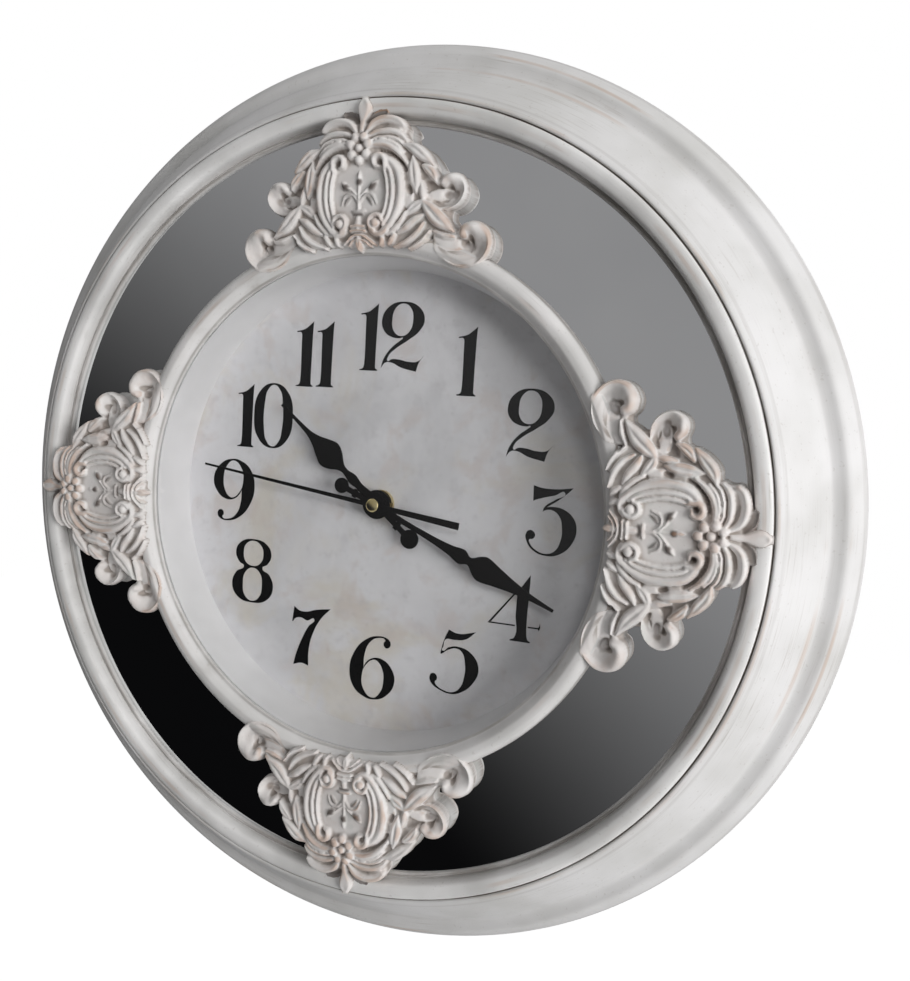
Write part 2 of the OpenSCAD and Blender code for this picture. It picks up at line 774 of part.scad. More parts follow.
// Centres of the wheels, and the modules that follow from shared centres
motion_c = motion_m * (cannon_teeth + minute_teeth) / 2;
hour_m = 2 * motion_c / (minute_pinion + hour_teeth);
third_c = third_m * (second_pinion + third_teeth) / 2;
centre_m = 2 * third_c / (third_pinion + centre_teeth);
fifth_c = fast_m * (fifth_pinion + second_teeth) / 2;
rotor_c = fifth_c + fast_m * (rotor_teeth + fifth_teeth) / 2;
minute_at_xy = [motion_c, 0];
third_at = [-third_c, 0];
fifth_at = [0, fifth_c];
rotor_at = [0, rotor_c];

// Gear outline with one tooth on +X; stub teeth leave play on both flanks
tooth_add = 0.72;
tooth_ded = 1.05;
tooth_root = 0.3;
tooth_tip = 0.13;
module gear(teeth, m, height) {
    r = teeth * m / 2;
    pitch = 360 / teeth;
    linear_extrude(height) polygon([for (i = [0 : teeth - 1])
        each [for (f = [[-tooth_root, -tooth_ded], [-tooth_tip, tooth_add],
                        [tooth_tip, tooth_add], [tooth_root, -tooth_ded]])
            let (a = (i + f[0]) * pitch, s = r + f[1] * m) s * [cos(a), sin(a)]]]);
}

// Turns a gear so that a tooth, or a gap between teeth, looks towards an angle
module tooth_to(angle) rotate(angle) children();
module gap_to(angle, teeth) rotate(angle + 180 / teeth) children();

module arbor(at, z0, z1, r = arbor_r) translate(at) disc(r, z0, z1);

module hour_wheel() {
    color("wheat") hung() difference() {
        union() {
            translate([0, 0, hour_wheel_z]) gap_to(0, hour_teeth) gear(hour_teeth, hour_m, wheel_t);
            disc(hour_pipe_r, hour_wheel_z, hour_z + hand_t);
        }
        disc(minute_pipe_r + run_gap, hour_wheel_z - 1, hour_z + 2);
    }
}

module cannon_pinion() {
    color("wheat") hung() difference() {
        union() {
            translate([0, 0, cannon_z]) tooth_to(0) gear(cannon_teeth, motion_m, wheel_t);
            disc(minute_pipe_r, centre_z - 0.3, minute_z + hand_t);
        }
        disc(arbor_r + run_gap, centre_z - 1, minute_z + 2);
    }
}

// Wheel and pinion on one stem, which comes out at the back and carries the knob
module minute_wheel() {
    color("wheat") hung() {
        translate([minute_at_xy[0], 0, cannon_z]) gap_to(180, minute_teeth)
            gear(minute_teeth, motion_m, wheel_t);
        translate([minute_at_xy[0], 0, cannon_z + wheel_t]) tooth_to(180)
            gear(minute_pinion, hour_m, hour_wheel_z - cannon_z);
        arbor(minute_at_xy, case_z - knob_stand, cannon_z + wheel_t / 2, stem_r);
        arbor(minute_at_xy, cannon_z + wheel_t / 2, ceiling_z + pivot_bite);
    }
}

knob_gap = 0.3;
knob_h = movement_gap - 3 * knob_gap;
knob_stand = knob_gap + knob_h / 2;
knob_grips = 18;

module setting_knob() {
    color("dimgray") hung() translate([minute_at_xy[0], 0, case_z - knob_gap - knob_h]) difference() {
        cylinder(r = knob_r, h = knob_h);
        for (i = [0 : knob_grips - 1])
            rotate(i * 360 / knob_grips) translate([knob_r + 0.2, 0, -1]) cylinder(r = 0.5, h = knob_h + 2);
        translate([0, 0, knob_h / 2]) cylinder(r = stem_r + run_gap, h = knob_h);
    }
}

module second_wheel() {
    color("wheat") hung() {
        translate([0, 0, second_wheel_z]) gap_to(90, second_teeth) gear(second_teeth, fast_m, wheel_t);
        translate([0, 0, third_z - 0.2]) tooth_to(180) gear(second_pinion, third_m, wheel_t + 0.2);
        disc(arbor_r, cavity_z + 0.1, second_z + hand_t * 0.7);
        disc(pivot_r, cavity_z - pivot_bite, cavity_z + 0.2);
        disc(1, second_wheel_z, third_z);
    }
}

module third_wheel() {
    color("wheat") hung() {
        translate([third_at[0], 0, third_z]) gap_to(0, third_teeth) gear(third_teeth, third_m, wheel_t);
        translate([third_at[0], 0, centre_z - 0.2]) tooth_to(0)
            gear(third_pinion, centre_m, wheel_t + 0.4);
        arbor(third_at, cavity_z + 0.1, ceiling_z - 0.1);
        arbor(third_at, cavity_z - pivot_bite, ceiling_z + pivot_bite, pivot_r);
    }
}

// Friction wheel that drives the cannon pinion and slips when the hands are set
module centre_wheel() {
    color("wheat") hung() difference() {
        translate([0, 0, centre_z]) gap_to(180, centre_teeth) gear(centre_teeth, centre_m, wheel_t);
        disc(minute_pipe_r + run_gap, centre_z - 1, centre_z + 2);
    }
}

module fifth_wheel() {
    color("wheat") hung() {
        translate([0, fifth_at[1], fast_z]) gap_to(90, fifth_teeth) gear(fifth_teeth, fast_m, wheel_t);
        translate([0, fifth_at[1], second_wheel_z - 0.2]) tooth_to(270)
            gear(fifth_pinion, fast_m, wheel_t + 0.4);
        arbor(fifth_at, cavity_z + 0.1, bridge_z - 0.1);
        arbor(fifth_at, cavity_z - pivot_bite, bridge_z + bridge_t / 2, pivot_r);
    }
}

magnet_r = 3;
magnet_h = 2.2;
magnet_z = second_wheel_z;

module rotor() {
    color("dimgray") hung() {
        translate([0, rotor_at[1], fast_z - 0.2]) tooth_to(270) gear(rotor_teeth, fast_m, wheel_t + 0.4);
        translate(rotor_at) disc(magnet_r, magnet_z, magnet_z + magnet_h);
        arbor(rotor_at, cavity_z + 0.1, bridge_z - 0.1);
        arbor(rotor_at, cavity_z - pivot_bite, bridge_z + bridge_t / 2, pivot_r);
    }
}

// Bridge that carries the front pivots of the fast wheels on three pillars
bridge_low = -third_c * 0.75;
bridge_x = third_c + 5;
bridge_top = rotor_c + 4;
pillar_r = 1.4;
pillars = [[-third_c - 2, fifth_c + 2], [motion_c + 3, fifth_c + 3], [-third_c - 2, bridge_low + 1]];

module train_plate() {
    color("gainsboro") hung() translate([0, 0, bridge_z]) difference() {
        translate([0, (bridge_low + bridge_top) / 2, 0]) linear_extrude(bridge_t)
            rounded(2 * bridge_x, bridge_top - bridge_low, 2);
        disc(arbor_r + run_gap, -1, 2);
        translate(third_at) disc(arbor_r + run_gap, -1, 2);
        translate(minute_at_xy) disc(stem_r + run_gap, -1, 2);
        for (c = [fifth_at, rotor_at]) translate(c) disc(pivot_r + run_gap, -1, 2);
    }
}

module movement_case() {
    color("dimgray") hung() difference() {
        union() {
            difference() {
                translate([0, 0, case_z]) linear_extrude(movement_t) rounded(case_s, case_s, 4);
                translate([-inner_s / 2, train_y, case_z - 1])
                    cube([inner_s, case_s / 2 - case_wall - train_y, ceiling_z - case_z + 1]);
                translate([-inner_s / 2, bay_y - bay_h, case_z - 1])
                    cube([inner_s, bay_h, ceiling_z - case_z + 1]);
            }
            for (p = pillars) translate(p) disc(pillar_r, bridge_z + bridge_t, ceiling_z + 0.2);
        }
        disc(bush_r + run_gap, ceiling_z - 1, front_z + 1);
        disc(bush_flange_r + run_gap, ceiling_z - 1, ceiling_z + bush_flange_t);
        translate(third_at) disc(pivot_r + run_gap, ceiling_z - 1, ceiling_z + pivot_bite + 0.2);
        translate(minute_at_xy) disc(arbor_r + run_gap, ceiling_z - 1, ceiling_z + pivot_bite + 0.2);
    }
}

// Cover over the wheels; the battery bay stays open at the back
module movement_cover() {
    cover_h = case_s / 2 - case_wall - train_y - 2 * seat_gap;
    color("gray") hung() difference() {
        translate([0, train_y + seat_gap + cover_h / 2, case_z]) linear_extrude(cover_t)
            rounded(inner_s - 2 * seat_gap, cover_h, 1);
        translate([0, 0, cavity_z - pivot_bite - 0.1]) for (c = [[0, 0], third_at, fifth_at, rotor_at])
            translate(c) cylinder(r = pivot_r + run_gap, h = cover_t);
        translate(minute_at_xy) disc(stem_r + run_gap, case_z - 1, cavity_z + 1);
    }
}

bush_flange_r = 5.4;
bush_flange_t = 0.8;
washer_t = 0.5;
bush_top = dial_z + washer_t + nut_h - 0.3;

module threaded_bush() {
    color("goldenrod") hung() {
        tube(bush_r, bush_in_r, ceiling_z, bush_top);
        tube(bush_flange_r, bush_in_r, ceiling_z, ceiling_z + bush_flange_t - run_gap);
    }
}

module rubber_gasket() {
    color("black") hung() tube(12, bush_r + seat_gap, front_z, pan_z);
}

module clamp_washer() {
    color("goldenrod") hung() tube(nut_r - 0.4, bush_r + seat_gap, dial_z, dial_z + washer_t);
}

// Round brass nut with two key slots
module clamp_nut() {
    color("goldenrod") hung() difference() {
        tube(nut_r, bush_r + run_gap, dial_z + washer_t, dial_z + washer_t + nut_h);
        for (a = [0, 180]) rotate(a)
            translate([nut_r - 1, -0.8, dial_z + washer_t + nut_h - 1]) cube([2, 1.6, 2]);
    }
}

// Motor: a stator with its gap round the magnet, and the coil across its legs
stator_t = 1;
stator_z = magnet_z + (magnet_h - stator_t) / 2;
stator_half = magnet_r + 1.6;
coil_r = 2.2;
coil_flange = 0.4;
coil_l = 16;
coil_core = 1;
coil_y = rotor_c + stator_half + coil_r + coil_flange + seat_gap;
coil_z = stator_z + stator_t / 2;
leg_x = coil_l / 2 + 2.4;

module stator() {
    color("silver") hung() {
        translate([0, 0, stator_z]) linear_extrude(stator_t) difference() {
            union() {
                translate([-leg_x - 2, rotor_c - stator_half]) square([2 * leg_x + 4, 2 * stator_half]);
                for (x = [-1, 1]) translate([x * leg_x - 2, rotor_c]) square([4, coil_y - rotor_c + 2]);
            }
            translate(rotor_at) circle(magnet_r + 0.5);
            for (y = [-1, 1]) translate([-0.4, rotor_c + y * (magnet_r + 0.5) - 0.4]) square([0.8, 0.8]);
        }
        translate([-leg_x, coil_y, coil_z]) rotate([0, 90, 0]) cylinder(r = coil_core, h = 2 * leg_x);
    }
}

module coil() {
    color("orange") hung() translate([0, coil_y, coil_z]) rotate([0, 90, 0]) difference() {
        union() {
            translate([0, 0, -coil_l / 2 + 1]) cylinder(r = coil_r, h = coil_l - 2);
            for (x = [-1, 1]) translate([0, 0, x * (coil_l / 2 - 0.5) - 0.5]) cylinder(r = coil_r + coil_flange, h = 1);
        }
        translate([0, 0, -coil_l]) cylinder(r = coil_core + run_gap, h = 2 * coil_l);
    }
}

board_w = 12;
board_h = 18;
chip_s = 5;
module circuit_board() {
    color("darkgreen") hung()
        translate([inner_s / 2 - board_w / 2 - 1, train_y + board_h / 2 + 2, cavity_z]) {
            linear_extrude(0.8) square([board_w, board_h], center = true);
            translate([0, 3, 0.8]) linear_extrude(1) square(chip_s, center = true);
            translate([-3, -5, 1.4]) rotate([0, 90, 0]) cylinder(r = 1, h = 6);
        }
}

// Cell with its cap, lying across the bay
cap_nub = 2.7;
cap_nub_h = 1.2;
module battery() {
    color("slategray") hung() translate([-battery_l / 2, battery_y, battery_z]) rotate([0, 90, 0]) {
        cylinder(r = battery_r - 0.4, h = 1);
        translate([0, 0, 0.6]) cylinder(r = battery_r, h = battery_l - 1.2);
        translate([0, 0, battery_l - 1]) cylinder(r = battery_r - 0.6, h = 1);
        translate([0, 0, battery_l - 0.5]) cylinder(r = cap_nub, h = cap_nub_h + 0.5);
    }
}

// Sheet contacts at both ends of the bay: a flat one, and a sprung tongue
contact_t = 0.4;
contact_w = 9;
contact_h = 10;
module battery_contacts() {
    spring_x = -inner_s / 2;
    flat_x = inner_s / 2;
    low = ceiling_z - contact_h;
    color("silver") hung() translate([0, battery_y, 0]) {
        translate([spring_x, -contact_w / 2, low]) cube([contact_t, contact_w, contact_h]);
        rotate([90, 0, 0]) translate([0, 0, -contact_w / 4]) linear_extrude(contact_w / 2)
            polygon([[spring_x, low], [spring_x + contact_t, low], [-battery_l / 2 - run_gap, battery_z],
                     [spring_x + contact_t, ceiling_z - 1], [spring_x, ceiling_z - 1],
                     [-battery_l / 2 - run_gap - contact_t, battery_z]]);
        translate([battery_l / 2 + cap_nub_h + run_gap, -contact_w / 2, low])
            cube([flat_x - battery_l / 2 - cap_nub_h - run_gap, contact_w, contact_h]);
    }
}

outer_frame();
bead_ring();
mirror_glass();
mirror_board();
frame_screws();
back_panel();
panel_screws();
hanger_plate();
hanger_screws();
dial_pan();
pan_screws();
reflector_ring();
dial_plate();
dial_glass();
dial_bezel();
ornament_top();
ornament_right();
ornament_bottom();
ornament_left();
movement_case();
movement_cover();
train_plate();
stator();
coil();
circuit_board();
battery();
battery_contacts();
threaded_bush();
rubber_gasket();
clamp_washer();
clamp_nut();
hour_hand();
hour_wheel();
minute_hand();
cannon_pinion();
minute_wheel();
setting_knob();
second_hand();
second_cap();
second_wheel();
third_wheel();
centre_wheel();
fifth_wheel();
rotor();
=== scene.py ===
# %% [markdown]
# # A mirror wall clock
# A round wall clock: a painted moulded frame, a mirror band, a bezel round a sunk dial, and four cast
# ornaments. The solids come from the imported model. Here they get their finishes, and the pieces that
# need finer shapes are made again on the same places. Lengths are millimetres until `place` turns them
# into the part's metres, so every number can be compared with a drawing.

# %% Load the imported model
import json
import math

import bmesh
import bpy
import numpy as np
from mathutils import Matrix, Vector


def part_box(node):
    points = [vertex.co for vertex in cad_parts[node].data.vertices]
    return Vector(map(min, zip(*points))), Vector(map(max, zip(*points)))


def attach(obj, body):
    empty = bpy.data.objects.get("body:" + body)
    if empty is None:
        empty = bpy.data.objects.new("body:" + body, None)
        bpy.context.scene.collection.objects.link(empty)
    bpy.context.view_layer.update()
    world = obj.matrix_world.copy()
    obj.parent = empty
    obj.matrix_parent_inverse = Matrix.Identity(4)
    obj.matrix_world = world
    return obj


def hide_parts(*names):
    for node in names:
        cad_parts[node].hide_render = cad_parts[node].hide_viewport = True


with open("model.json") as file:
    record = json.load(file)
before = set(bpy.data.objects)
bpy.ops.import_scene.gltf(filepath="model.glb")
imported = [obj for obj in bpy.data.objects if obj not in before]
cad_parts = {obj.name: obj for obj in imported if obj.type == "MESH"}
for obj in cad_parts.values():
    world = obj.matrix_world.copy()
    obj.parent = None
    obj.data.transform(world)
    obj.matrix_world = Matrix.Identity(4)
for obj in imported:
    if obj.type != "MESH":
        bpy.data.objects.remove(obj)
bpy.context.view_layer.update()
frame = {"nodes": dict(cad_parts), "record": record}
scene = bpy.context.scene
scene.view_settings.view_transform = "Standard"
hub = Vector(next(j for j in frame["record"]["behaviour"]["joints"] if j["name"] == "minute_turn")["pos_m"])
MM = 0.001


def place(u, v, z):
    """A point u to the right and v above the hub, z in front of the wall, all in millimetres."""
    return Vector((hub.x + u * MM, -z * MM, hub.z + v * MM))


def front_of(node):
    """How far a node reaches from the wall, in millimetres."""
    return -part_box(node)[0].y / MM


mirror_z = front_of("mirror_glass")
dial_z = front_of("dial_plate")
glass_z = front_of("dial_glass")
frame_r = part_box("outer_frame")[1].x / MM
print("frame radius", round(frame_r, 2), "mirror", round(mirror_z, 2), "dial", round(dial_z, 2))

# %% [markdown]
# ## Camera
# The camera stands a little to the right of the clock and close to it, so the near side of the frame
# looks wider than the far side. A long lens from further back would lose that, so the real distance
# was worked out from the ellipses of the rings and is typed here.

# %% Camera
camera = bpy.data.objects.new("camera", bpy.data.cameras.new("camera"))
camera.location = (0.190364, -0.423002, -0.106003)
camera.rotation_euler = [math.radians(a) for a in (85.1905663, -1.9055917, 21.4728269)]
camera.data.lens = 36.615
camera.data.sensor_width = 36
camera.data.clip_start = 0.01
scene.collection.objects.link(camera)
scene.camera = camera
print("camera at", [round(c, 3) for c in camera.location])

# %% [markdown]
# ## Node helpers
# A finish is a small web of nodes. It could be wired by hand in the editor, but the same clicks would come
# back for every paint. These helpers make a node, set its sockets and link what is linked, so that a finish
# reads as a few lines.

# %% Colours and nodes
def linear(code):
    """A colour as written in a paint chart, such as E0DFDA, in the linear values that shaders take."""
    parts = [int(code[i:i + 2], 16) / 255 for i in (0, 2, 4)]
    return tuple(c / 12.92 if c <= 0.04045 else ((c + 0.055) / 1.055) ** 2.4 for c in parts) + (1.0,)


def feed(tree, socket, value):
    """Link another node's output to a socket, or set a plain value on it."""
    if isinstance(value, bpy.types.NodeSocket):
        tree.links.new(value, socket)
    else:
        socket.default_value = value


def put(tree, kind, sockets=None, **settings):
    """Make a node; a socket's value is a number, a colour or another node's output."""
    made = tree.nodes.new("ShaderNode" + kind)
    for key, value in settings.items():
        setattr(made, key, value)
    for key, value in (sockets or {}).items():
        feed(tree, made.inputs[key], value)
    return made


def sums(tree, operation, first, second=0.0, clamp=False):
    return put(tree, "Math", {0: first, 1: second}, operation=operation, use_clamp=clamp).outputs[0]


def times(tree, first, second):
    return sums(tree, "MULTIPLY", first, second)


def remap(tree, value, low, high, out_low=0.0, out_high=1.0):
    """Turn one span of values softly into another."""
    return put(tree, "MapRange", {0: value, 1: low, 2: high, 3: out_low, 4: out_high},
               interpolation_type="SMOOTHSTEP").outputs[0]


def noise(tree, vector, scale, detail=3.0, rough=0.55, warp=0.0):
    return put(tree, "TexNoise", {"Vector": vector, "Scale": scale, "Detail": detail,
                                  "Roughness": rough, "Distortion": warp}).outputs[0]


def blend(tree, amount, first, second):
    """Mix two colours by an amount."""
    return put(tree, "Mix", {0: amount, 6: first, 7: second}, data_type="RGBA").outputs[2]


def tint(tree, colour, mask, amount, code):
    """Lay a colour of the paint chart over another where a mask is high."""
    return blend(tree, times(tree, mask, amount), colour, linear(code))


print("middle grey of the chart is", round(linear("808080")[0], 3), "to a shader")

# %% [markdown]
# A node group is a small machine with named sockets that many finishes share. A finish itself is one
# Principled shader, read on the object's own coordinates, so that its pattern stays on the piece when
# the piece turns. Some finishes show another shader to some rays, and `mix_out` adds that.

# %% Groups and finishes
finishes = {}


def new_group(name, takes, gives):
    tree = bpy.data.node_groups.new(name, "ShaderNodeTree")
    for key, kind, start in takes:
        socket = tree.interface.new_socket(key, in_out="INPUT", socket_type="NodeSocket" + kind)
        if start is not None:
            socket.default_value = start
    for key, kind in gives:
        tree.interface.new_socket(key, in_out="OUTPUT", socket_type="NodeSocket" + kind)
    return tree, tree.nodes.new("NodeGroupInput"), tree.nodes.new("NodeGroupOutput")


def use_group(tree, group, sockets):
    made = tree.nodes.new("ShaderNodeGroup")
    made.node_tree = group
    for key, value in sockets.items():
        feed(tree, made.inputs[key], value)
    return made.outputs


def new_finish(name):
    """A material with one Principled shader, its tree and the object's own coordinates."""
    mat = finishes[name] = bpy.data.materials.new(name)
    mat.use_nodes = True
    tree = mat.node_tree
    tree.nodes.clear()
    out = tree.nodes.new("ShaderNodeOutputMaterial")
    shader = tree.nodes.new("ShaderNodeBsdfPrincipled")
    tree.links.new(shader.outputs[0], out.inputs[0])
    print("finish", name)
    return tree, shader, tree.nodes.new("ShaderNodeTexCoord").outputs["Object"]


def dress(tree, shader, colour, rough, height=None, depth=0.0002, strength=0.3):
    """Give the shader its colour, its roughness and, where there is one, a height."""
    feed(tree, shader.inputs["Base Color"], colour)
    feed(tree, shader.inputs["Roughness"], rough)
    if height is not None:
        bump = put(tree, "Bump", {"Height": height, "Strength": strength, "Distance": depth})
        tree.links.new(bump.outputs[0], shader.inputs["Normal"])


def mix_out(tree, amount, shader, other):
    """Show another shader in place of the finish's own, by an amount."""
    both = put(tree, "MixShader", {0: amount, 1: shader.outputs[0], 2: other.outputs[0]})
    out = next(n for n in tree.nodes if n.type == "OUTPUT_MATERIAL")
    tree.links.new(both.outputs[0], out.inputs[0])


# %% [markdown]
# ## Shared effects
# Three effects serve most finishes. One gives the place on a turned ring: its radius, and a point that
# moves slowly along the ring and fast across it. One is grain at two scales with a few specks. One is a
# thin line at one radius. As groups they are built once, and each finish sets its own values.

# %% Place on a ring
ring_place, given, gives = new_group(
    "ring_place", [("Vector", "Vector", None)], [("Radius", "Float"), ("Along", "Vector")])
RING_PULL = 7.0
axes = put(ring_place, "SeparateXYZ", {0: given.outputs[0]})
across = times(ring_place, axes.outputs[0], 1 / MM)
upward = times(ring_place, sums(ring_place, "SUBTRACT", axes.outputs[2], hub.z), 1 / MM)
outward = times(ring_place, axes.outputs[1], -1 / MM)
radius = sums(ring_place, "SQRT", sums(ring_place, "ADD", times(ring_place, across, across),
                                      times(ring_place, upward, upward)))
cosine, sine = (sums(ring_place, "DIVIDE", part, radius) for part in (across, upward))
along = put(ring_place, "CombineXYZ", {0: times(ring_place, cosine, RING_PULL),
                                       1: times(ring_place, sine, RING_PULL),
                                       2: sums(ring_place, "SUBTRACT", radius, outward)})
for key, value in zip(gives.inputs, (radius, along.outputs[0])):
    ring_place.links.new(value, key)
print("group", ring_place.name)

# %% Grain and ring line
grain, given, gives = new_group(
    "grain", [("Vector", "Vector", None), ("Fine", "Float", 900.0), ("Coarse", "Float", 40.0)],
    [("Fine", "Float"), ("Coarse", "Float"), ("Specks", "Float")])
fine = noise(grain, given.outputs[0], given.outputs[1], 4.0, 0.6)
coarse = noise(grain, given.outputs[0], given.outputs[2], 3.0, 0.55)
dots = noise(grain, given.outputs[0], times(grain, given.outputs[1], 0.45), 1.0)
for key, value in zip(gives.inputs, (fine, coarse, remap(grain, dots, 0.66, 0.76))):
    grain.links.new(value, key)

ring_line, given, gives = new_group(
    "ring_line", [("Radius", "Float", 0.0), ("At", "Float", 0.0), ("Width", "Float", 1.0)],
    [("Mask", "Float")])
apart = sums(ring_line, "ABSOLUTE", sums(ring_line, "SUBTRACT", given.outputs[0], given.outputs[1]))
within = sums(ring_line, "DIVIDE", apart, given.outputs[2])
ring_line.links.new(remap(ring_line, within, 0.2, 1.0, 1.0, 0.0), gives.inputs[0])
print("groups", grain.name, "and", ring_line.name)

# %% [markdown]
# ## Finishes
# The frame, bead and bezel are brushed with cream paint, rubbed back so that the ground shows as grey
# brown in thin streaks along the turning. The dark lines in the quirks, the seams and the edges where a
# ring meets the mirror or the glass are partly that ground and partly painted shade. Streaks need a
# pattern that follows the ring, so the noise is read on the circle's cosine and sine, which has no seam.

# %% Distressed paint
def ring_paint(name, base, quirk_ground_and_shade, rubs):
    """Cream paint for a turned moulding: dark lines at the quirks, partly ground and partly painted shade,
    rubbed edges at the crests.
    """
    tree, shader, where = new_finish(name)
    spot = use_group(tree, ring_place, {"Vector": where})
    tooth = use_group(tree, grain, {"Vector": where, "Fine": 1400.0, "Coarse": 22.0})
    streak = noise(tree, spot["Along"], 0.9, 4.0, 0.62)
    patch = noise(tree, where, 16.0, 3.0, 0.6)
    ragged = remap(tree, streak, 0.25, 0.6, 0.35, 1.0)
    worn = remap(tree, patch, 0.5, 0.66)
    thin = times(tree, remap(tree, streak, 0.53, 0.78), remap(tree, patch, 0.42, 0.68))
    colour = blend(tree, remap(tree, tooth["Coarse"], 0.3, 0.75), linear(base), linear("CFCECC"))
    colour = tint(tree, colour, thin, 0.5, "8F8477")
    # The first lines are partly ground showing through and partly painted shade in seams, grooves and contact
    # edges.
    for lines, broken, code in ((quirk_ground_and_shade, ragged, "6B6158"), (rubs, worn, "B89272")):
        for at, width, amount in lines:
            line = use_group(tree, ring_line, {"Radius": spot["Radius"], "At": at, "Width": width})
            colour = tint(tree, colour, times(tree, line["Mask"], broken), amount, code)
    colour = tint(tree, colour, tooth["Specks"], 0.18, "9A9187")
    rough = remap(tree, tooth["Coarse"], 0.2, 0.8, 0.38, 0.56)
    height = sums(tree, "ADD", times(tree, streak, 0.7), times(tree, tooth["Fine"], 0.4))
    dress(tree, shader, colour, rough, height, 0.0003, 0.22)
    shader.inputs["Coat Weight"].default_value = 0.08
    shader.inputs["Coat Roughness"].default_value = 0.35


# Each line is a radius, a width and a strength.
ring_paint("frame_paint", "E4E3E3", [(172.1, 0.9, 0.16), (168.3, 0.4, 0.9), (199.0, 1.0, 0.2)],
           [(185.6, 1.2, 0.3), (194.2, 1.0, 0.4), (169.6, 0.9, 0.3)])
# The bead's broad dark line at 159.6 on its inner lip is painted shade, the shadow of the bead at the mirror.
ring_paint("bead_paint", "F7F6F5", [(168.0, 0.35, 0.9), (159.6, 1.7, 0.7)], [(164.6, 1.3, 0.3)])
# The bezel's dark lines at its lip over the glass and where it meets the mirror are painted shade.
ring_paint("bezel_paint", "ECEAE9", [(105.8, 0.8, 0.45), (115.7, 0.6, 0.6)], [(110.6, 1.3, 0.3)])

# %% [markdown]
# The castings carry the same paint with a darker tint in the hollows, partly a wash that ran in and partly
# painted shade, and a copper tint rubbed on the high edges. Edge wear could come from a bevel node, which
# is slow and needs the right render engine. So the relief stores how hollow and how proud each point is,
# and the finish reads that.

# %% Washed casting with painted shade
def cast_paint():
    tree, shader, where = new_finish("cast_paint")
    hollow, proud, stain_and_shade = (put(tree, "Attribute", attribute_name=key).outputs["Fac"]
                            for key in ("hollow", "proud", "stain_and_shade"))
    tooth = use_group(tree, grain, {"Vector": where, "Fine": 1500.0, "Coarse": 60.0})
    patch = noise(tree, where, 38.0, 3.0, 0.6)
    rosy = noise(tree, where, 85.0, 3.0, 0.6)
    # The hollows darken: partly a real wash, partly painted shade.
    wash_and_shade = times(tree, remap(tree, hollow, 0.12, 0.85), remap(tree, tooth["Coarse"], 0.1, 0.7, 0.6, 1.0))
    rub = times(tree, remap(tree, proud, 0.25, 0.8), remap(tree, patch, 0.48, 0.64))
    colour = blend(tree, remap(tree, tooth["Coarse"], 0.3, 0.7), linear("ECE9E7"), linear("DFDAD7"))
    # The stain is painted shade in the fan's cups, and on the sprig partly dark wash and partly painted
    # shade.
    for mask, amount, code in ((remap(tree, rosy, 0.54, 0.72), 0.4, "DACAC2"),
                               (remap(tree, rosy, 0.44, 0.28), 0.4, "C9CCC8"), (wash_and_shade, 0.8, "93877E"),
                               (stain_and_shade, 0.95, "4A3F38"), (rub, 0.5, "BF9574"),
                               (tooth["Specks"], 0.15, "A0968B")):
        colour = tint(tree, colour, mask, amount, code)
    rough = remap(tree, tooth["Coarse"], 0.2, 0.8, 0.42, 0.6)
    dress(tree, shader, colour, rough, tooth["Fine"], 0.0002, 0.18)


cast_paint()

# %% [markdown]
# The dial is a printed sheet: grey with cloudy beige and rose patches, as old paper has. Clouds of three
# sizes, each with its own tint, come closer to that than one noise with many colours would.

# %% Dial print
def dial_print():
    tree, shader, where = new_finish("dial_print")
    tooth = use_group(tree, grain, {"Vector": where, "Fine": 1200.0, "Coarse": 60.0})
    shifted = put(tree, "Mapping", {"Vector": where, "Location": (0.31, 0.17, 0.45)}).outputs[0]
    cloud = noise(tree, where, 13.0, 4.0, 0.6, 0.6)
    blush = noise(tree, shifted, 17.0, 4.0, 0.62, 0.8)
    spots = noise(tree, shifted, 46.0, 4.0, 0.6, 0.4)
    mottle = noise(tree, where, 130.0, 5.0, 0.65)
    colour = blend(tree, remap(tree, cloud, 0.35, 0.68), linear("EDECEF"), linear("D8D7DA"))
    for mask, amount, code in ((remap(tree, blush, 0.5, 0.68), 0.5, "DCD2BE"),
                               (remap(tree, spots, 0.52, 0.68), 0.38, "D6C8C2"),
                               (remap(tree, spots, 0.44, 0.3), 0.3, "EAE9EA"),
                               (remap(tree, mottle, 0.5, 0.7), 0.35, "C9C6C9"),
                               (tooth["Specks"], 0.12, "8F8B86")):
        colour = tint(tree, colour, mask, amount, code)
    rough = remap(tree, tooth["Coarse"], 0.2, 0.8, 0.5, 0.62)
    dress(tree, shader, colour, rough, tooth["Fine"], 0.0001, 0.06)


dial_print()

# %% [markdown]
# The mirror is silvered glass with a faint haze of dust, so it is a metal with almost no roughness. The
# dial's glass is clear. Bent light would leave the dial dark with few samples, so light for the dial
# passes straight through, and only sight is bent.

# %% Mirror and glass
def mirror_silver():
    tree, shader, where = new_finish("mirror_silver")
    haze = use_group(tree, grain, {"Vector": where, "Fine": 1800.0, "Coarse": 9.0})["Coarse"]
    colour = blend(tree, remap(tree, haze, 0.3, 0.7), linear("E8EAEA"), linear("E0E2E3"))
    dress(tree, shader, colour, remap(tree, haze, 0.35, 0.75, 0.0, 0.035))
    shader.inputs["Metallic"].default_value = 1.0


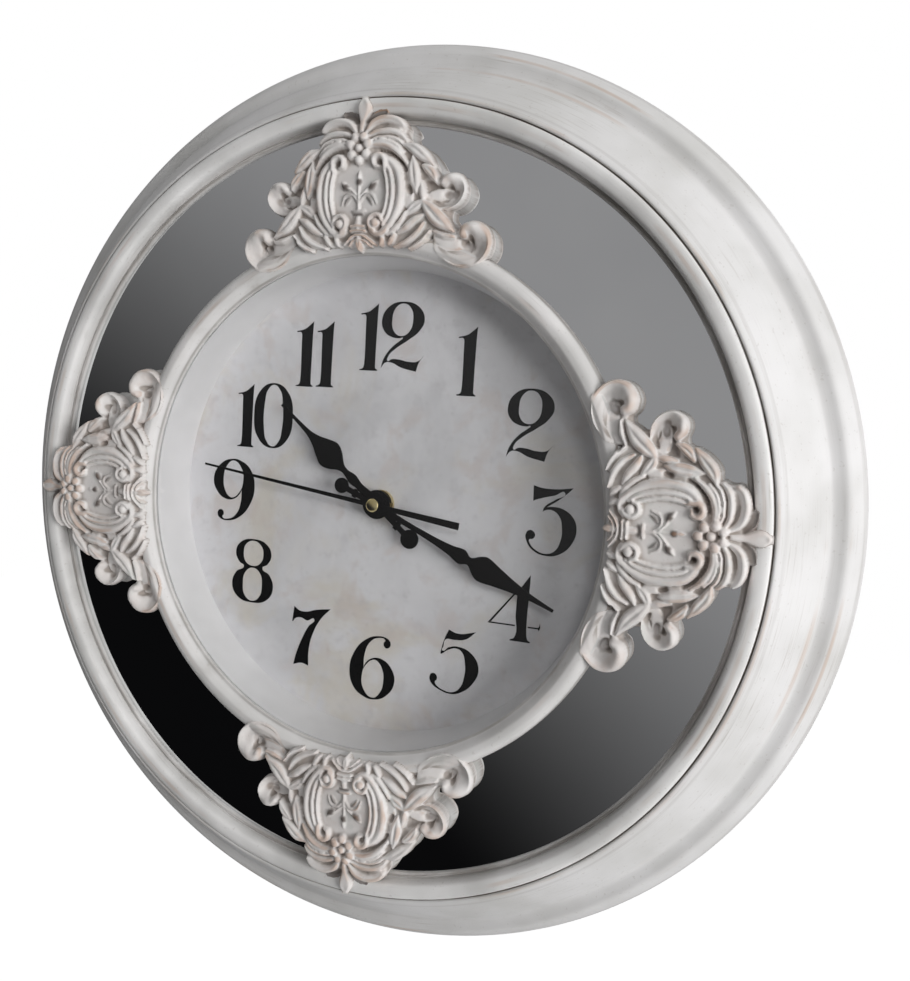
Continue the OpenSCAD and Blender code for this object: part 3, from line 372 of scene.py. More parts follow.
def clear_glass():
    tree, shader, where = new_finish("clear_glass")
    film = use_group(tree, grain, {"Vector": where, "Fine": 700.0, "Coarse": 14.0})
    dress(tree, shader, blend(tree, film["Coarse"], linear("FFFFFF"), linear("F8FAF9")), 0.0)
    shader.inputs["Transmission Weight"].default_value = 1.0
    shader.inputs["IOR"].default_value = 1.45
    shader.inputs["Specular IOR Level"].default_value = 0.06
    ray = tree.nodes.new("ShaderNodeLightPath").outputs
    bounced = sums(tree, "SUBTRACT", ray["Is Glossy Ray"], ray["Is Transmission Ray"], True)
    lighting = sums(tree, "MAXIMUM", ray["Is Shadow Ray"], ray["Is Diffuse Ray"])
    mix_out(tree, sums(tree, "MAXIMUM", bounced, lighting), shader, put(tree, "BsdfTransparent"))


mirror_silver()
clear_glass()

# %% [markdown]
# Most other pieces are plain moulded plastic, plated steel or brass. One recipe serves them all: a colour
# that wanders a little, a roughness that follows it, and fine grain as bump. What differs is the scale.

# %% Plain finishes
def plain(name, light, dark, rough, metal=0.0, fine=1200.0, coarse=45.0, bump=0.12, specks=0.0, speck=None):
    tree, shader, where = new_finish(name)
    tooth = use_group(tree, grain, {"Vector": where, "Fine": fine, "Coarse": coarse})
    colour = blend(tree, remap(tree, tooth["Coarse"], 0.3, 0.7), linear(light), linear(dark))
    if specks:
        colour = tint(tree, colour, tooth["Specks"], specks, speck)
    dress(tree, shader, colour, remap(tree, tooth["Coarse"], 0.2, 0.8, *rough), tooth["Fine"], 0.0002, bump)
    shader.inputs["Metallic"].default_value = metal
    return shader


# Light and dark colour, roughness, and where they differ: metal, fine and coarse scale, bump and specks.
PLAIN = {
    "wall_paint": ("E0DFE0", "D7D6D7", (0.42, 0.55)),
    "brass": ("E6D6A8", "C9B580", (0.3, 0.45), 1.0, 2200.0, 160.0, 0.08),
    "bright_brass": ("F2E3AE", "DCC98C", (0.14, 0.26), 1.0, 2200.0, 160.0, 0.06),
    "hardboard": ("957050", "866345", (0.62, 0.8), 0.0, 700.0, 150.0, 0.5, 0.6, "5C412B"),
    "fibreboard": ("B08D63", "94744E", (0.7, 0.85), 0.0, 600.0, 80.0, 0.5, 0.4, "6E5336"),
    "steel": ("B9BABC", "97989B", (0.25, 0.42), 1.0, 1800.0, 120.0, 0.1),
    "zinc": ("A9ABAD", "85888B", (0.35, 0.55), 1.0, 900.0, 160.0, 0.15),
    "pan_white": ("D9D9D6", "CFCFCC", (0.4, 0.55)),
    "case_black": ("232325", "19191B", (0.4, 0.55), 0.0, 2600.0, 60.0, 0.25),
    "cover_grey": ("3A3A3D", "2D2D30", (0.38, 0.5), 0.0, 2600.0, 60.0, 0.25),
    "bridge_pale": ("D5D3CB", "C6C4BB", (0.3, 0.45)),
    "acetal": ("DDD3BA", "CDC2A6", (0.28, 0.4)),
    "copper": ("B06A3A", "8E4F28", (0.25, 0.4), 1.0, 3000.0, 400.0, 0.3),
    "circuit_green": ("1C5A36", "154528", (0.3, 0.45), 0.0, 1500.0, 200.0, 0.2),
    "cell_grey": ("4A4C50", "3C3E42", (0.25, 0.38)),
    "rubber": ("191919", "101010", (0.7, 0.85)),
    "knob_grey": ("3C3C3F", "2E2E31", (0.42, 0.55), 0.0, 2400.0, 60.0, 0.2),
    "magnet_dark": ("3B3B3D", "2B2B2D", (0.4, 0.6), 0.6)}
for name, values in PLAIN.items():
    plain(name, *values)

# %% [markdown]
# The hands are matt black paint and the figures are printed ink. Both stay black at every angle, so they
# get far less gloss than a plastic has.

# %% Blacks
BLACK_GLOSS = 0.03
for black in (plain("hand_black", "060606", "030303", (0.35, 0.5), 0.0, 1600.0, 60.0, 0.1),
              plain("print_black", "0A0A0B", "050506", (0.5, 0.65), 0.0, 1600.0, 90.0, 0.05)):
    black.inputs["Specular IOR Level"].default_value = BLACK_GLOSS

# %% [markdown]
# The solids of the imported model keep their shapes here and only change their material. The ornaments are
# left out, because reliefs take their place further down.

# %% Finishes on the solids
WEARERS = {
    "frame_paint": "outer_frame", "bead_paint": "bead_ring", "bezel_paint": "dial_bezel",
    "mirror_silver": "mirror_glass", "dial_print": "dial_plate", "clear_glass": "dial_glass",
    "wall_paint": "reflector_ring", "fibreboard": "mirror_board", "hardboard": "back_panel",
    "zinc": "hanger_plate stator", "pan_white": "dial_pan", "case_black": "movement_case",
    "cover_grey": "movement_cover", "bridge_pale": "train_plate", "copper": "coil",
    "circuit_green": "circuit_board", "cell_grey": "battery", "rubber": "rubber_gasket",
    "knob_grey": "setting_knob", "magnet_dark": "rotor", "hand_black": "hour_hand minute_hand second_hand",
    "steel": "frame_screws panel_screws hanger_screws pan_screws battery_contacts",
    "brass": "threaded_bush clamp_washer clamp_nut second_cap",
    "acetal": "hour_wheel cannon_pinion minute_wheel second_wheel third_wheel centre_wheel fifth_wheel"}
for finish, wearers in WEARERS.items():
    for name in wearers.split():
        node = frame["nodes"][name]
        for slot in node.material_slots:
            slot.material = finishes[finish]
        if not node.material_slots:
            node.data.materials.append(finishes[finish])
print(len(finishes), "finishes on", sum(len(w.split()) for w in WEARERS.values()), "solids")


# %% [markdown]
# ## Turned rings
# Frame, bead, bezel and wall are mouldings, the same section all the way round. A section of a few points
# is spun about the hub, which gives an even surface that a lathe or a mould would give. A screw modifier
# would do the same, but a spun mesh needs nothing applied. Three hundred steps keep the edge round.

# %% Spin a section
SPIN_STEPS = 300


def finish_piece(name, bm, finish, replaced=(), smooth=40.0, body="clock_body"):
    """Turn a bmesh into a piece of the clock that rides on a body."""
    mesh = bpy.data.meshes.new(name)
    bm.to_mesh(mesh)
    bm.free()
    for face in mesh.polygons:
        face.use_smooth = True
    mesh.set_sharp_from_angle(angle=math.radians(smooth))
    mesh.materials.append(finishes[finish])
    piece = bpy.data.objects.new(name, mesh)
    scene.collection.objects.link(piece)
    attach(piece, body)
    if replaced:
        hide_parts(*replaced)
    print(name, len(mesh.polygons), "faces")


def flowing(points, samples):
    """A smooth curve through points, sampled evenly in its own count."""
    pts = np.array(points, float)
    pts = np.vstack([2 * pts[0] - pts[1], pts, 2 * pts[-1] - pts[-2]])
    spans = len(points) - 1
    ks = np.linspace(0, spans, samples)
    i = np.minimum(ks.astype(int), spans - 1)
    f = (ks - i)[:, None]
    a, b, c, d = pts[i], pts[i + 1], pts[i + 2], pts[i + 3]
    return 0.5 * (2 * b + (c - a) * f + (2 * a - 5 * b + 4 * c - d) * f**2 + (3 * b - a - 3 * c + d) * f**3)


def curve(points, samples, base=0.0):
    """A smooth run of section points, with heights above a base."""
    return [(r, base + z) for r, z in flowing(points, samples)]


def turned(section):
    """Spin a closed section of (radius, height) points about the hub."""
    bm = bmesh.new()
    corners = [bm.verts.new(place(r, 0, z)) for r, z in section]
    edges = [bm.edges.new((corners[i - 1], corners[i])) for i in range(len(corners))]
    bmesh.ops.spin(bm, geom=corners + edges, cent=hub, axis=(0, 1, 0), angle=2 * math.pi,
                   steps=SPIN_STEPS, use_merge=True)
    bmesh.ops.remove_doubles(bm, verts=bm.verts, dist=1e-6)
    bmesh.ops.recalc_face_normals(bm, faces=bm.faces)
    return bm


# %% [markdown]
# The frame rolls over from the seam into a long slope, a shallow valley and a round rim. Its back is
# hollow, as a moulding's is.

# %% Frame
seam_r, seat_z = 168.2, 38.8
frame_face = curve([(168.5, 47.3), (169.2, 47.6), (170.2, 47.1), (171.7, 45.6), (172.4, 44.6), (176, 40.2),
                    (180.5, 34.6), (184.6, 29.2), (186.2, 26.4), (187.2, 25.1), (188.6, 24.5),
                    (190.4, 24.2), (192.2, 24.1), (193.4, 23.7), (194.6, 22.7), (196.2, 20.6),
                    (197.4, 18.8), (198.9, 16.0), (199.7, 13.8), (frame_r, 12)], 80)
frame_back = [(frame_r, 1.2), (199.65, 0.35), (198.8, 0.0), (195.0, 0.0), (195.0, 14.0), (191.3, 17.6),
              (184.3, 25.2), (175.9, 34.8), (174.4, seat_z)]
frame_section = [(seam_r, seat_z), (seam_r, 46.6)] + frame_face + frame_back
finish_piece("frame_moulding", turned(frame_section), "frame_paint", ["outer_frame"])

# %% [markdown]
# The bead laps over the mirror with a low inner lip, darkened with painted shade, and then rises to a flat
# crest.
# The bezel is the same kind of ring round the dial, with a lip over the glass.

# %% Bead and bezel
bead_r, bezel_r, crest_r, lip_r = 161.5, 115.8, 110.34, 105.3
LIP_MID_R, LIP_HALF = 159.6, 1.1
lip_turns = [math.radians(180 - 20 * i) for i in range(9)]
bead_lip = [(LIP_MID_R + LIP_HALF * math.cos(a), mirror_z + 0.7 + math.sin(a)) for a in lip_turns]
bead_crest = curve([(160.8, 1.1), (161.0, 3.6), (161.4, 5.6), (162.3, 6.8), (164.2, 7.3), (166.2, 7.2),
                    (167.5, 6.6), (168.0, 5.8)], 40, mirror_z)
bead_back = [(168.0, seat_z), (166.2, seat_z), (166.2, mirror_z)]
bead_section = [(158.5, mirror_z), (158.5, mirror_z + 0.7)] + bead_lip + bead_crest + bead_back
finish_piece("bead_moulding", turned(bead_section), "bead_paint", ["bead_ring"])
step = glass_z - mirror_z
bezel_face = curve([(lip_r + 0.2, step + 1.3), (lip_r + 1.4, step + 2.0), (107.9, step + 3.4),
                    (109.2, step + 4.5), (crest_r, 8), (112.2, 7.9), (113.8, 7.1), (115.0, 5.6),
                    (115.6, 3.6), (bezel_r, 1.5)], 44, mirror_z)
bezel_back = [(bezel_r, mirror_z), (108.5, mirror_z), (108.5, glass_z)]
bezel_section = [(lip_r, glass_z), (lip_r, glass_z + 0.9)] + bezel_face + bezel_back
finish_piece("bezel_moulding", turned(bezel_section), "bezel_paint", ["dial_bezel"])

# %% [markdown]
# The second hand's cap is a small brass dome, which catches a highlight that a flat disc would miss. The
# wall leans outward from the dial to the glass, so that its near side can be seen.

# %% Cap and wall
cap_top = front_of("second_cap")
cap_dome = curve([(2.9, -0.5), (2.4, -0.1), (1.5, 0.15), (0.6, 0.28), (0, 0.3)], 16, cap_top)
cap_section = [(0, cap_top - 1), (3, cap_top - 1), (3, cap_top - 0.7)] + cap_dome
finish_piece("cap_dome", turned(cap_section), "bright_brass", ["second_cap"], 40.0, "second_set")
view_r, wall_r = 102.3, 106.1
wall_section = [(view_r, dial_z), (wall_r, dial_z), (wall_r, glass_z - 2), (lip_r, glass_z - 2)]
finish_piece("dial_wall", turned(wall_section), "wall_paint", ["reflector_ring"], 20.0)

# %% [markdown]
# ## Numerals
# The dial carries slim display figures with swelling bowls and hairlines. A font could set them, but
# plain fonts lack these shapes, so each figure is one outline: a filled curve with smooth and sharp
# points, turned into a mesh and laid on the dial as a film of ink.

# %% Figure outlines
# Each contour is a list of points from the figure's lower left corner; a third value marks a corner.
C = 1
FIGURES = {
    "1": [[(.3, 0, C), (9, 0, C), (9, .5, C), (8, 1.2), (7.9, 2), (8.3, 27), (8.5, 29.4, C), (6, 27.3),
           (4, 25.9), (0, 24.9, C), (.1, 24.4, C), (2.2, 24.3), (2.6, 23, C), (2.3, 1.6), (1.6, .8),
           (.3, .5, C)]],
    "2": [[(.4, .9, C), (2.5, 3.4), (5.5, 3.5), (10, 1.6), (16.5, .2), (17.3, 0, C), (18.6, 4),
           (20.7, 7, C), (18.2, 4.6), (13.5, 4.2), (9, 5), (5.5, 5), (3.6, 4.2), (3.8, 6.2), (7, 9.5),
           (13, 13.5), (18, 17.5), (20.3, 22.3), (17.8, 27.6), (10.2, 30), (3, 27.6), (0, 21.5),
           (1.6, 16.8), (5.2, 14.6), (9, 14.2), (10.4, 14.4), (9.5, 13.4, C), (5.2, 10), (1.6, 5)],
          [(10, 29.2), (6.6, 27.5), (4.9, 22), (6.2, 16.8), (9.4, 15.2), (13, 16.8), (14.9, 22),
           (13.4, 27.6)]],
    "0": [[(10.3, 30), (3.2, 26.5), (0, 15), (3.2, 3.5), (10.3, 0), (17.4, 3.5), (20.6, 15),
           (17.4, 26.5)],
          [(10.3, 29.2), (7, 26.8), (5.7, 22), (5.6, 8), (7, 3.2), (10.3, .8), (13.6, 3.2), (15, 8),
           (15, 22), (13.6, 26.8)]],
    "3": [[(2.7, 29.2, C), (6, 28.4), (13, 28.3), (19.8, 29.3, C), (18.6, 28), (14.5, 24.3),
           (8.9, 20.4, C), (11, 20.8), (16, 20.2), (20.5, 17), (22.2, 12.5), (20.5, 6), (15.5, 1.2),
           (10, 0), (4, 1.8), (.8, 6), (.6, 8.6), (2, 10.2), (4, 9.6), (4.6, 8), (3.6, 6.6), (2.2, 6.3),
           (2.6, 4.5), (5.5, 1.9), (10, .9), (13.5, 2.5), (15.7, 7), (16, 12), (14.6, 17), (11.3, 19.4),
           (8.6, 19.2), (7.2, 18.4, C), (7.9, 20.4), (12.5, 23.9), (16.4, 27), (12, 25.6), (7, 24.2),
           (3.4, 22.9), (2.9, 22.6, C)]],
    "4": [[(10.4, 0, C), (19.4, 0, C), (19.4, .5, C), (18.1, 1.4), (18, 29.1, C), (12.6, 21, C),
           (12.4, 12), (12.2, 1.4), (10.4, .5, C)],
          [(0, 6.5, C), (1.5, 7.05, C), (12.55, 21.2, C), (12.58, 22.3, C)],
          [(0, 6.4, C), (12.32, 6.4, C), (12.34, 7.0, C), (1.48, 7.0, C)],
          [(18.06, 6.4, C), (22.6, 6.4, C), (23.0, 5.6, C), (23.5, 7.2), (23.3, 9.0, C), (22.9, 7.4),
           (22.4, 7.0, C), (18.06, 7.0, C)]],
    "5": [[(8.2, 28.4, C), (12.5, 27.2), (20.8, 28.9, C), (16, 25), (11, 24.2), (6.9, 23.8), (6, 20.6),
           (5.6, 18.8), (8.6, 20.6), (13, 21.4), (19.5, 19), (22.9, 13), (20.5, 6), (15, 1.2), (11, 0),
           (5.5, 1), (1.2, 3.6), (.3, 6.2), (1.4, 8), (3.4, 7.4), (3.8, 5.6), (2.9, 4.2), (4, 2.6),
           (7, 1.2), (11, .8), (14.5, 3), (16.6, 9), (16.6, 14), (14.9, 19.2), (12.4, 20.5), (8.8, 19.6),
           (5.4, 17.2, C), (4.8, 17.3, C), (5.4, 20.6), (6.5, 24.4)]],
    "6": [[(19.9, 26.4), (18.8, 28.4), (14, 29.4), (7.5, 27), (2, 20.5), (0, 12.5), (2.4, 4.5), (8, .6),
           (12.4, 0), (18.5, 2.4), (22.6, 9.5), (20.4, 16), (15.5, 19.2), (11.5, 19), (8.2, 16.6),
           (7, 14.2, C), (7.2, 20), (9.6, 26), (14, 28.6), (17.2, 27.9), (16.5, 26.6), (17.2, 24.7),
           (18.9, 24.6)],
          [(11.8, 18.3), (8.2, 15.5), (6.4, 11), (7.4, 4.2), (12, .8), (15.6, 3.5), (17.2, 9), (16.2, 15),
           (13.6, 18)]],
    "7": [[(.9, 27.4, C), (3.5, 25.8), (7.5, 25.6), (12, 27), (19.8, 28.3, C), (15, 23.2), (11.2, 16),
           (9.3, 8), (9.4, .4, C), (6, 1.2), (1.5, 0, C), (2.7, 5), (5.5, 12.5), (8.8, 19), (11.5, 22.6),
           (8, 21.5), (4.4, 22.5), (1.4, 21.6), (.5, 20.2, C), (0, 20.2, C)]],
    "8": [[(11.2, 30.2), (3.8, 28), (1.6, 23.3), (3.8, 18.6), (6.2, 17), (2.2, 14), (0, 8), (3, 2.2),
           (11, 0), (19.4, 2.2), (22.4, 8), (20.2, 14), (16.3, 17), (18.8, 18.8), (20.9, 23.3),
           (18.6, 28)],
          [(11.2, 29.4), (7, 27.5), (5.8, 23.5), (7.2, 19), (11.2, 17.5), (15, 19), (16.6, 23.5),
           (15.2, 27.5)],
          [(11.2, 16.6), (7.3, 14.5), (5.9, 8.5), (7.2, 3), (11.2, .8), (15, 3), (16.4, 8.5),
           (15, 14.5)]]}
FIGURES["9"] = [[(22.8 - p[0], 29.4 - p[1]) + p[2:] for p in part] for part in FIGURES["6"]]

print(len(FIGURES), "figures drawn")

# %% [markdown]
# A flat curve fills itself and leaves its inner contours open, which saves cutting the bowls by hand. It is
# made a mesh before it is placed. Then it leans a little, as the print does, and is extruded backwards, so
# that the film of ink is a closed body.

# %% Lay the figures on the dial
HOURS = {"12": [("1", -12.8, 58.6), ("2", -2.5, 58.6)], "1": [("1", 33.8, 48.6)], "2": [("2", 57, 22.5)],
         "3": [("3", 66.8, -17)], "4": [("4", 51.8, -54.5)], "5": [("5", 25.4, -81.5)],
         "6": [("6", -14, -89.2)], "7": [("7", -44.6, -78.3)], "8": [("8", -77.4, -51.4)],
         "9": [("9", -88.9, -13.4)], "10": [("1", -75.8, 22), ("0", -66.9, 22)],
         "11": [("1", -45, 50.8), ("1", -34.6, 50.8)]}
INK = 0.08
LEAN = math.radians(-1.45)


def figure_mesh(contours):
    """Fill a figure's contours as one flat curve and hand back its mesh, in millimetres."""
    outline = bpy.data.curves.new("figure", "CURVE")
    outline.dimensions = "2D"
    outline.fill_mode = "BOTH"
    outline.resolution_u = 8
    for points in contours:
        spline = outline.splines.new("BEZIER")
        spline.bezier_points.add(len(points) - 1)
        spline.use_cyclic_u = True
        for knot, point in zip(spline.bezier_points, points):
            knot.co = (point[0], point[1], 0)
            kind = "VECTOR" if len(point) > 2 else "AUTO"
            knot.handle_left_type = knot.handle_right_type = kind
    holder = bpy.data.objects.new("figure", outline)
    scene.collection.objects.link(holder)
    bpy.context.view_layer.update()
    drawn = holder.evaluated_get(bpy.context.evaluated_depsgraph_get())
    mesh = bpy.data.meshes.new_from_object(drawn)
    bpy.data.objects.remove(holder)
    bpy.data.curves.remove(outline)
    return mesh


for hour, figures in HOURS.items():
    bm = bmesh.new()
    for figure, u, v in figures:
        flat = figure_mesh(FIGURES[figure])
        part = bmesh.new()
        part.from_mesh(flat)
        bmesh.ops.remove_doubles(part, verts=part.verts, dist=1e-4)
        middle = Vector((max(p[0] for p in FIGURES[figure][0]) / 2, 15, 0))
        turn_matrix = Matrix.Translation(middle) @ Matrix.Rotation(LEAN, 4, "Z") @ Matrix.Translation(-middle)
        bmesh.ops.transform(part, matrix=turn_matrix, verts=part.verts)
        for vert in part.verts:
            vert.co = place(u + vert.co.x, v + vert.co.y, dial_z + INK)
        part.to_mesh(flat)
        part.free()
        bm.from_mesh(flat)
        bpy.data.meshes.remove(flat)
    raised = bmesh.ops.extrude_face_region(bm, geom=bm.faces[:], use_keep_orig=True)
    lower = [e for e in raised["geom"] if isinstance(e, bmesh.types.BMVert)]
    bmesh.ops.translate(bm, verts=lower, vec=(0, (INK - 0.01) * MM, 0))
    bmesh.ops.recalc_face_normals(bm, faces=bm.faces)
    finish_piece("figure_" + hour, bm, "print_black", (), 20.0)

# %% [markdown]
# ## Cast ornaments
# Each ornament is one casting with a fan, a medallion, leaves and four scrolls. It could be sculpted, or
# built from many bent leaves, but a casting's forms melt into each other. So it is made as a relief: a
# fine sheet is pressed by strokes. A stroke is a curve with a width and a height, and a back that is
# round, veined, dished or reeded. Where strokes meet, the higher one wins, which leaves the creases that
# a carver's gouge leaves.

